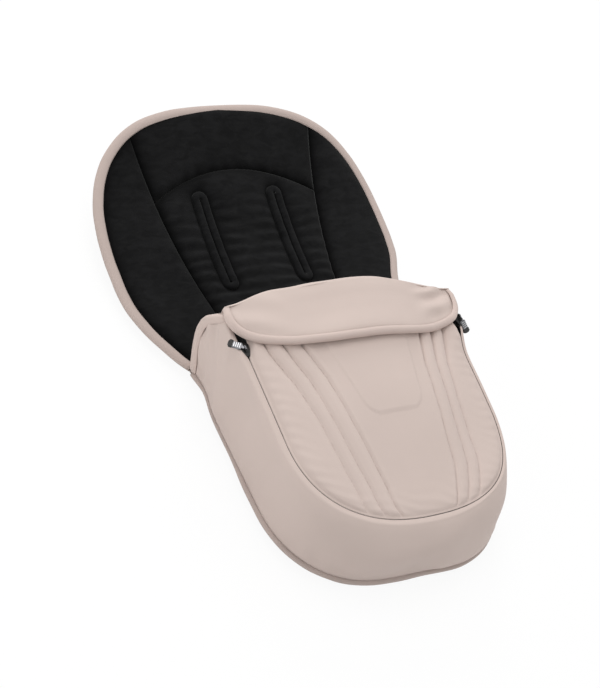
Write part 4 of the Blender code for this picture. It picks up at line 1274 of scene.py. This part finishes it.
def apron_foot(x):
    share = (x / apron_half_width) ** zip_power
    return zip_turn_run - apron_round * (1 - share) ** (1 / zip_power)


def stretched(bottom, top, left, right, across, along):
    """Patch stretched between four edge curves, each a function of a share."""
    zero, one = np.zeros(1), np.ones(1)
    ruled = mix(bottom(across), top(across), along[..., None])
    lofted = mix(left(along), right(along), across[..., None])
    flat = mix(
        mix(bottom(zero), bottom(one), across[..., None]),
        mix(top(zero), top(one), across[..., None]), along[..., None],
    )
    return ruled + lofted - flat


def apron_foot_edge(share):
    x = apron_corner_width * share**quilt_spread
    return np.stack([x, apron_foot(x)], -1)


def apron_mouth_edge(share):
    return np.stack([share * apron_width(apron_end_run), np.full(share.shape, apron_end_run)], -1)


def apron_middle(share):
    return np.stack([share * 0, mix(apron_foot(0.0), apron_end_run, share)], -1)


def apron_side(share):
    side_run = mix(apron_foot(apron_corner_width), apron_end_run, share)
    return np.stack([apron_width(side_run), side_run], -1)


edge_fine = 1 - np.geomspace(1, 60, 16)[::-1] / 1500
half_across = np.concatenate([np.linspace(0, 0.955, 96), edge_fine[edge_fine > 0.958], [1.0]])
foot_fine = np.geomspace(1, 40, 12) / 1800
half_along = np.concatenate([[0.0], foot_fine, np.linspace(0.026, 1, 130)])
across, along = np.meshgrid(half_across, half_along)
half = stretched(
    apron_foot_edge, apron_mouth_edge, apron_middle, apron_side, across, along,
)
half_x, half_run = half[..., 0], half[..., 1]
right_zip = zip_line[zip_line[:, 0] >= -0.001]
fine_zip = np.stack([
    np.interp(np.linspace(0, len(right_zip) - 1, 700), np.arange(len(right_zip)), part)
    for part in right_zip.T
], -1)


def gap_to(line, x, run):
    """Distance of each plan point from the nearest point of a line."""
    gap = np.empty(x.shape)
    for row in range(len(x)):
        spots = np.stack([x[row], run[row]], -1)[:, None]
        gap[row] = np.linalg.norm(spots - line[None], axis=-1).min(1)
    return gap


def whole(half, mirror=1):
    """Right half of a grid made whole about its first column."""
    return np.concatenate([half[:, :0:-1] * mirror, half], 1)


to_line = np.maximum(gap_to(fine_zip, half_x, half_run), least_gap)
half_x = half_x - apron_parted * parting(half_run) * fading(to_line, parting_reach)
apron_x, apron_run = whole(half_x, -1), whole(half_run)
to_line, signed_across = whole(to_line), whole(across, -1)
along = whole(along)
across = np.abs(signed_across)
crown = apron_crown * (1 - across**crown_power) * past(along, 0, 0.55)
by_line = short_of(to_line, 0.0009, 0.0007)
swell = drawn(to_line - apron_edge_flat, apron_edge_reach)
level = mix(apron_edge_top, apron_top, swell) - edge_dip * by_line


def quilt_share(line, run, side):
    """Where a row of quilting lies across the apron; the rows lean a little to the left."""
    return np.interp(run, quilt_runs, line) - side * quilt_lean * short_of(run, 0.120, 0.06)


# The quilting: grooves along its rows, with the cloth full between them
side_of = np.sign(signed_across)
rows = [quilt_share(line, apron_run, side_of) for line in quilt_lines]
line_gap = np.min([np.abs(across - row) for row in rows], axis=0)
line_gap = line_gap * mix(apron_corner_width, quilt_top_width, along) * quilt_gap_scale
ribbed = past(across - rows[0], -0.06, 0.06) * short_of(across, 1, 0.05)
foot_ease = past(to_line, 0.0015, 0.005)
fuller = 1 + 0.9 * past(apron_run, 0.235, 0.09)
groove = about(line_gap, 0, groove_spread)
rib = 1 - about(line_gap, 0, rib_spread)
quilt = (quilt_rib * rib * ribbed - quilt_groove * groove) * fuller * foot_ease
pinch = pinch_depth * groove * np.sin(math.tau * apron_run / pinch_pitch)

# The plain panel in the middle, with rounded lower corners, and the slack cloth round it
bib_share = (bib_top_run - apron_run) / (bib_top_run - bib_foot_run)
bib_width = mix(bib_top_half_width, bib_foot_half_width, np.clip(bib_share, -0.5, 1))
corner = np.clip(1 - (apron_run - bib_foot_run) / bib_corner_length, 0, 1)
bib_width = bib_width - bib_corner_width * (1 - np.sqrt(np.clip(1 - corner**2, 0, 1)))
bib_inside = np.minimum(bib_width - np.abs(apron_x), (apron_run - bib_foot_run) * 1.3)
bib = past(bib_inside, -0.0008, 0.0015)
free = 1 - bib * 0.85
tension = tension_depth * ripple(apron_x, apron_run, 0.12, 51) * free
slant = math.tau * (apron_x * 0.35 + apron_run) / pucker_pitch
edge_pucker = fading(to_line, pucker_reach) * np.sin(
    slant + 2.0 * ripple(apron_x, apron_run, 0.07, 52)
)
edge_pucker = pucker_depth * edge_pucker * past(to_line, 0.004, 0.006)
under_collar = past(apron_run, 0.27, 0.05) * free
gather = gather_depth * under_collar * ripple(apron_x * 3.2, apron_run * 0.7, 0.10, 53)
apron_level = level + (quilt + pinch + tension + gather) * foot_ease + edge_pucker
apron_level = apron_level + bib_raise * bib
base_height = zip_height(apron_run) + crown
from_line = past(to_line, lining_edge_flat, lining_edge_reach)
lining_level = mix(apron_edge_under, apron_under, from_line) - lining_edge_dip * by_line
apron_face = in_frame(apron_x, apron_run, base_height + apron_level)
apron_back = in_frame(apron_x, apron_run, base_height + lining_level)
apron = sewn(
    "apron", apron_face, apron_back, np.stack([apron_x, apron_run], -1),
    [outer_cloth, dark_fleece],
)
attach(apron, "apron")
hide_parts("apron_outer", "apron_wadding", "apron_lining")

# Quilting thread
# Fine thread in the colour of the cloth, pulled down into each quilted groove.
quilt_thread_end = 0.375
quilt_thread_room = 0.0025
quilt_thread_up = 0.00008
quilt_rows = []
for line in quilt_lines:
    for side in (-1, 1):
        places = []
        for row in range(0, len(apron_face), 2):
            run = np.interp(side * 0.7, signed_across[row], apron_run[row])
            share = side * quilt_share(line, run, side)
            place = [np.interp(share, signed_across[row], part) for part in apron_face[row].T]
            room = np.interp(share, signed_across[row], to_line[row])
            if run < quilt_thread_end and room > quilt_thread_room:
                places.append(place)
        quilt_rows.append(np.array(places) + (0, 0, quilt_thread_up))
quilting = threaded(
    "quilting_thread", quilt_rows, stitch_pitch, stitch_length, stitch_radius, pink_thread,
)
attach(quilting, "apron")

# Collar
# The apron's top edge, faced with the outer cloth and folded back over it. Its free edge
# sweeps down in the middle and is rounded at the corners, over the sliders.
collar_half_width = 0.202
collar_depth = 0.073
collar_middle_run = 0.391
collar_power = 2.6
collar_back_half_width = 0.199
collar_back_run = 0.4125
collar_back_sweep = 0.010
collar_rise = 0.0116
collar_over = 0.0050
collar_below = 0.0039
collar_edge_over, collar_edge_below = 0.0022, 0.0030
collar_edge_flat, collar_edge_reach = 0.0060, 0.008
lift_height, lift_middle, lift_spread = 0.0035, -0.035, 0.10
drape_depth = 0.0014
end_fold_depth, end_fold_pitch = 0.0026, 0.040
corner_share = 0.75


def collar_round(turn):
    """Plan points on the collar's rounded near edge, from its side at 0 degrees."""
    return round_end(
        collar_half_width, collar_depth, collar_middle_run, collar_power, np.radians(turn), -1,
    )[0]


def collar_near_edge(share):
    return collar_round(90 - 45 * share)


def collar_back_edge(share):
    return np.stack([
        collar_back_half_width * share, collar_back_run - collar_back_sweep * share**2,
    ], -1)


def collar_middle(share):
    return np.stack([
        share * 0, mix(collar_middle_run - collar_depth, collar_back_run, share),
    ], -1)


def collar_side(share):
    """The rest of the rounded edge, and then straight on to the fold."""
    curve = collar_round(45 * (1 - np.clip(share / corner_share, 0, 1)))
    start = np.array([collar_half_width, collar_middle_run])
    straight_share = np.clip((share - corner_share) / (1 - corner_share), 0, 1)[..., None]
    straight = mix(start, collar_back_edge(np.ones(1))[0], straight_share)
    return np.where((share < corner_share)[..., None], curve, straight)


def bag_crown(x, run):
    share = np.clip(np.abs(x) / (apron_width(run) - 0.0048), 0, 1)
    return zip_height(run) + apron_crown * (1 - share**crown_power)


across, along = np.meshgrid(np.linspace(0, 1, 90), np.linspace(0, 1, 54))
half = stretched(
    collar_near_edge, collar_back_edge, collar_middle, collar_side, across, along,
)
near_curve = collar_near_edge(np.linspace(0, 1, 200))
side_curve = collar_side(np.linspace(0, 1, 120))
free_edge = np.concatenate([near_curve, side_curve])
to_edge = whole(gap_to(free_edge, half[..., 0], half[..., 1]))
collar_x, collar_run = whole(half[..., 0], -1), whole(half[..., 1])
plump = drawn(to_edge - collar_edge_flat, collar_edge_reach)
drape = drape_depth * ripple(collar_x, collar_run, 0.10, 61) * plump
end_folds = past(np.abs(collar_x), 0.10, 0.06) * plump
slant = math.tau * (collar_run * 1.1 - np.abs(collar_x) * 0.45) / end_fold_pitch
slant = np.sin(slant + ripple(collar_x, collar_run, 0.12, 62))
drape = drape + end_fold_depth * end_folds * slant * np.where(collar_x > 0, 1, 0.5)


def lifted(x, run):
    """How far the collar's near edge stands off the apron, most left of its middle."""
    near = 1 - past(run, collar_middle_run - collar_depth, 0.045)
    return lift_height * near * about(x, lift_middle, lift_spread)


middle_height = bag_crown(collar_x, collar_run) + collar_rise + lifted(collar_x, collar_run)
face_height = middle_height + mix(collar_edge_over, collar_over, plump) + drape
facing_height = middle_height - mix(collar_edge_below, collar_below, plump)
collar = sewn(
    "collar", in_frame(collar_x, collar_run, face_height),
    in_frame(collar_x, collar_run, facing_height), np.stack([collar_x, collar_run], -1),
    [outer_cloth],
)
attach(collar, "collar")
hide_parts("collar_outer", "collar_wadding", "collar_lining")

# Collar binding
# A plump folded strip round the collar's free edge, from the fold on one side to the fold
# on the other.
collar_profile = (
    (-0.0085, 0.0050), (-0.0062, 0.0061), (-0.0030, 0.0064), (0.0002, 0.0056), (0.0024, 0.0036),
    (0.0034, 0.0008), (0.0031, -0.0022), (0.0014, -0.0046), (-0.0016, -0.0056),
    (-0.0052, -0.0055), (-0.0085, -0.0050), (-0.0085, -0.0044),
    (-0.0040, -0.0038), (-0.0005, -0.0033), (0.0006, -0.0022), (0.0010, -0.0004),
    (0.0009, 0.0014), (0.0002, 0.0030), (-0.0020, 0.0036), (-0.0044, 0.0038),
    (-0.0060, 0.0040), (-0.0070, 0.0041), (-0.0080, 0.0042), (-0.0085, 0.0043),
)
inner_share = 0.74
end_thinness, end_reach, end_drop = 0.85, 0.016, 0.0030
half_edge = np.concatenate([near_curve[::3], side_curve[3::3]])
edge_path = np.concatenate([half_edge[:0:-1] * flip, half_edge])
edge_out = square_to(np.gradient(edge_path, axis=0))
out, rise = np.array(collar_profile).T
out = np.where(out < 0, out * inner_share, out)
edge_length = travelled(edge_path)
from_end = np.minimum(edge_length, edge_length[-1] - edge_length)
thinned = mix(end_thinness, 1, past(from_end, 0, end_reach))[:, None]
out, rise = out[None, :] * thinned, rise[None, :] * thinned - end_drop * (1 - thinned)
wobble = strip_unevenness * ripple(edge_path[:, 0], edge_path[:, 1], 0.05, 65)[:, None]
plan = edge_path[:, None] + edge_out[:, None] * (out + wobble)[..., None]
inner_plan = edge_path[:, None] + edge_out[:, None] * np.minimum(out, 0)[..., None]
height = bag_crown(inner_plan[..., 0], inner_plan[..., 1]) + collar_rise + rise
height = height + lifted(inner_plan[..., 0], inner_plan[..., 1])
rings = in_frame(plan[..., 0], plan[..., 1], height + wobble * 0.5)
collar_edge = swept("collar_edge_binding", rings, [binding_cloth])
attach(collar_edge, "collar")
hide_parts("collar_binding")

# Collar fold
# Where the apron's lining side turns over into the collar: a soft roll of the same cloth.
# On the real bag it opens out when the collar is folded up; here it stays as built.
fold_steps = np.radians(np.linspace(90, -90, 22))
fold_across = np.linspace(-1, 1, 121)
fold_thickness = 0.0016
fold_tuck = 0.0012
fold_length = 0.035
fold_middle_bulge, fold_end_bulge = 0.0085, 0.0045
back_line = collar_back_edge(np.abs(fold_across))
back_line = back_line * np.stack([np.sign(fold_across), np.ones(len(fold_across))], -1)
fold_crown = bag_crown(back_line[:, 0], back_line[:, 1])
fold_top = fold_crown + collar_rise + collar_over
fold_bottom = fold_crown + apron_under
fold_bulge = mix(fold_middle_bulge, fold_end_bulge, np.abs(fold_across) ** 3)
fold_bulge = fold_bulge * (1 + 0.10 * ripple(back_line[:, 0], back_line[:, 1], 0.08, 67))


def fold_grid(shrink):
    """Half round from the collar's top down to the apron's underside, shrunk by a depth."""
    reach = fold_bulge[:, None] - shrink
    tall = ((fold_top - fold_bottom) / 2)[:, None] - shrink
    return np.stack([
        np.broadcast_to(back_line[:, :1], (len(back_line), len(fold_steps))),
        back_line[:, 1:] + foot_seam_y - fold_tuck + reach * np.cos(fold_steps)[None, :],
        ((fold_top + fold_bottom) / 2)[:, None] + tall * np.sin(fold_steps)[None, :],
    ], -1)


flat_down = np.linspace(0, fold_length, len(fold_steps))
fold_cut = np.stack(np.meshgrid(back_line[:, 0], flat_down, indexing="ij"), -1)
collar_fold = sewn(
    "collar_fold", fold_grid(0), fold_grid(fold_thickness), fold_cut, [outer_cloth],
)
middle = len(back_line) // 2
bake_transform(collar_fold)

# Zip sliders and pulls
# Small cast sliders in black enamel. Each carries a flat silver pull with a black end, which
# lies out over the shoulder of the wall.
slider_wide = 0.0068
slider_narrow = 0.0022
slider_half_length = 0.0088
slider_plate = 0.0013
slider_gap = 0.0017
pull_half_width = 0.0054
pull_length = 0.0190
pull_thickness = 0.0022
tip_length = 0.0060
pull_slope = {"left": 0.36, "right": 1.15}
pull_swing = {"left": 0.85, "right": 2.60}
neck_half_width, neck_half_length, neck_from_tip = 0.0006, 0.0022, 0.0030
sunk_in_plate = 0.0004
bridge_sunk, bridge_half_width = 0.0003, 0.0011
pivot_up = 0.0056
pivot_out = 0.0018
eye_radius, eye_thickness, eye_half_length = 0.0023, 0.0010, 0.0026
tab_start, tab_waist, tab_waist_half_width, tab_shoulder = 0.0018, 0.0048, 0.0024, 0.0016
rib_starts = (0.0074, 0.0102, 0.0130, 0.0158)
rib_length, rib_rise = 0.0014, 0.0009
tip_overlap, tip_over_tab = 0.0006, 0.0005
clamp_half_width, clamp_half_length = 0.0022, 0.0025
clamp_below, clamp_above = 0.0018, 0.0020
plate_edge, neck_edge, bridge_edge = 0.0004, 0.0001, 0.0003
eye_edge, tab_edge, rib_edge, tip_edge = 0.00012, 0.0003, 0.0002, 0.0005
rib_sunk = 0.0004


def metal(name, color, metallic, roughness, scratch):
    """Cast or plated metal, or hard rubber, with fine rubbed scratches."""
    made, tree, surface = plain_finish(name, {"Base Color": (*color, 1), "Metallic": metallic})
    rub = speckle(tree, 260, 5)
    worn = added(tree, "ShaderNodeMapRange", "Result", {
        "Value": rub, "To Min": roughness * 0.7, "To Max": roughness * 1.4,
    })
    tree.links.new(worn, surface.inputs["Roughness"])
    embossed(tree, surface, rub, scratch, 0.0001)
    return made


black_enamel = metal("black_enamel", (0.012, 0.012, 0.012), 0.0, 0.32, 0.2)
# The pull's silver in two copies: the darker one is painted shade between the ribs, the brighter
# one a painted highlight on the ribs
silver = metal("silver_painted_shade", (0.20, 0.20, 0.21), 1.0, 0.40, 0.6)
highlit_silver = metal("silver_painted_highlight", (0.50, 0.50, 0.51), 1.0, 0.30, 0.4)
black_rubber = metal("black_rubber", (0.016, 0.016, 0.016), 0.0, 0.55, 0.3)


def oblong(low_a, high_a, low_b, high_b):
    return [(low_a, low_b), (high_a, low_b), (high_a, high_b), (low_a, high_b)]


def both_sides(half):
    """Outline from its half below zero, mirrored to the other side."""
    return half + [(a, -b) for a, b in reversed(half)]


def cast(name, shape, finish, edge):
    """Object from a bmesh, with its edges rounded and its faces turned outwards."""
    bmesh.ops.recalc_face_normals(shape, faces=shape.faces)
    bmesh.ops.bevel(
        shape, geom=shape.edges, offset=edge, segments=2, affect="EDGES", profile=0.6,
    )
    bmesh.ops.recalc_face_normals(shape, faces=shape.faces)
    mesh = bpy.data.meshes.new(name)
    shape.to_mesh(mesh)
    shape.free()
    mesh.materials.append(finish)
    return placed(name, mesh)


def plates(name, finish, edge, origin, ways, *solids):
    """Piece made of plates, each an outline in two ways between two levels of the third."""
    shape = bmesh.new()
    for outline, low, high in solids:
        flat = [origin + ways[0] * a + ways[1] * b for a, b in outline]
        prism(shape, *([spot + ways[2] * level for spot in flat] for level in (low, high)))
    return cast(name, shape, finish, edge)


def eye_ring(name, finish, edge, origin, axis, first, second):
    """Short tube about an axis, that the pull turns on."""
    shape = bmesh.new()
    turns = [math.tau * step / 16 for step in range(16)]
    bore = eye_radius - eye_thickness
    loops = [
        [shape.verts.new(
            origin + first * reach * math.cos(turn) + second * reach * math.sin(turn)
            + axis * end * eye_half_length
        ) for turn in turns]
        for reach, end in ((bore, -1), (eye_radius, -1), (eye_radius, 1), (bore, 1))
    ]
    for near, far in zip(loops, loops[1:] + loops[:1]):
        for step in range(16):
            after = (step + 1) % 16
            shape.faces.new((near[step], near[after], far[after], far[step]))
    return cast(name, shape, finish, edge)


plate_outline = [
    (-slider_narrow, -slider_half_length * 1.35), (slider_narrow, -slider_half_length * 1.35),
    (slider_wide, -slider_half_length * 0.1), (slider_wide, slider_half_length * 0.75),
    (slider_narrow, slider_half_length), (-slider_narrow, slider_half_length),
    (-slider_wide, slider_half_length * 0.75), (-slider_wide, -slider_half_length * 0.1),
]
neck_middle = slider_half_length - neck_from_tip
neck_outline = oblong(
    -neck_half_width, neck_half_width, neck_middle - neck_half_length,
    neck_middle + neck_half_length,
)
bridge_outline = [
    (-0.0062, 0.0), (-0.0056, 0.0028), (-0.0036, 0.0040), (0.0036, 0.0040),
    (0.0056, 0.0028), (0.0062, 0.0), (0.0050, 0.0), (0.0045, 0.0020), (0.0031, 0.0028),
    (-0.0031, 0.0028), (-0.0045, 0.0020), (-0.0050, 0.0),
]
tab_outline = both_sides([
    (tab_start, -tab_waist_half_width), (tab_waist, -tab_waist_half_width),
    (tab_waist + tab_shoulder, -pull_half_width), (pull_length, -pull_half_width),
])
tip_outline = both_sides([
    (pull_length - tip_overlap, -pull_half_width - tip_over_tab),
    (pull_length + tip_length * 0.7, -pull_half_width - tip_over_tab),
    (pull_length + tip_length, -pull_half_width * 0.5),
])
ribs = [
    (oblong(start, start + rib_length, -pull_half_width * 0.8, pull_half_width * 0.8),
     rib_sunk, pull_thickness / 2 + rib_rise)
    for start in rib_starts
]
clamp_outline = oblong(
    -clamp_half_width, clamp_half_width, -clamp_half_length, clamp_half_length,
)
joints = {joint["name"]: joint for joint in frame["joints"]}
shown_zip = settled(on_zip(zip_line))
for side_name, side in (("left", -1), ("right", 1)):
    toward_foot = Vector(joints["slider_" + side_name + "_slide"]["axis"]).normalized()
    headward = -toward_foot
    pivot = Vector(joints["pull_" + side_name + "_hinge"]["pos_m"])
    upward = Vector((0, -headward.z, headward.y)).normalized()
    outward = headward.cross(upward).normalized() * side
    middle = pivot - outward * pivot_out - upward * pivot_up
    ways = (outward, headward, upward)
    top_plate = plates(
        "slider_top_" + side_name, black_enamel, plate_edge, middle, ways,
        (plate_outline, slider_gap, slider_gap + slider_plate),
    )
    under_plate = plates(
        "slider_under_" + side_name, black_enamel, plate_edge, middle, ways,
        (plate_outline, -slider_gap - slider_plate, -slider_gap),
    )
    neck = plates(
        "slider_neck_" + side_name, black_enamel, neck_edge, middle, ways,
        (neck_outline, -slider_gap - sunk_in_plate, slider_gap + sunk_in_plate),
    )
    bridge = plates(
        "slider_bridge_" + side_name, black_enamel, bridge_edge,
        middle + upward * (slider_gap + slider_plate - bridge_sunk), (headward, upward, outward),
        (bridge_outline, pivot_out - bridge_half_width, pivot_out + bridge_half_width),
    )
    for part in (top_plate, under_plate, neck, bridge):
        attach(part, "slider_" + side_name)
    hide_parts("slider_" + side_name)

    swung = toward_foot if side > 0 else headward
    pull_way = outward + swung * pull_swing[side_name] - upward * pull_slope[side_name]
    tab_out = pull_way.normalized()
    tab_side = upward.cross(tab_out).normalized()
    tab_up = tab_out.cross(tab_side).normalized()
    tab_ways = (tab_out, tab_side, tab_up)
    eye = eye_ring("pull_eye_" + side_name, silver, eye_edge, pivot, headward, tab_out, tab_up)
    tab = plates(
        "pull_tab_" + side_name, silver, tab_edge, pivot, tab_ways,
        (tab_outline, -pull_thickness / 2, pull_thickness / 2),
    )
    # The ribs carry the brighter silver, a painted highlight
    grip = plates("pull_grip_" + side_name, highlit_silver, rib_edge, pivot, tab_ways, *ribs)
    tip = plates(
        "pull_tip_" + side_name, black_rubber, tip_edge, pivot, tab_ways,
        (tip_outline, -pull_thickness * 0.8, pull_thickness * 0.8),
    )
    for part in (eye, tab, grip, tip):
        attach(part, "pull_" + side_name)
    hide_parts("pull_" + side_name)

    # The stop sits on the settled zip line, level with the CAD's own stop
    node = frame["nodes"]["zip_stop_" + side_name]
    corners = np.array([node.matrix_world @ Vector(corner) for corner in node.bound_box])
    side_line = shown_zip[shown_zip[:, 0] * side > 0.1]
    nearest = side_line[np.abs(side_line[:, 1] - corners.mean(0)[1]).argmin()]
    stop = plates(
        "zip_clamp_" + side_name, black_enamel, plate_edge, Vector(nearest), ways,
        (clamp_outline, -clamp_below, clamp_above),
    )
    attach(stop, "seat")
    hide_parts("zip_stop_" + side_name)
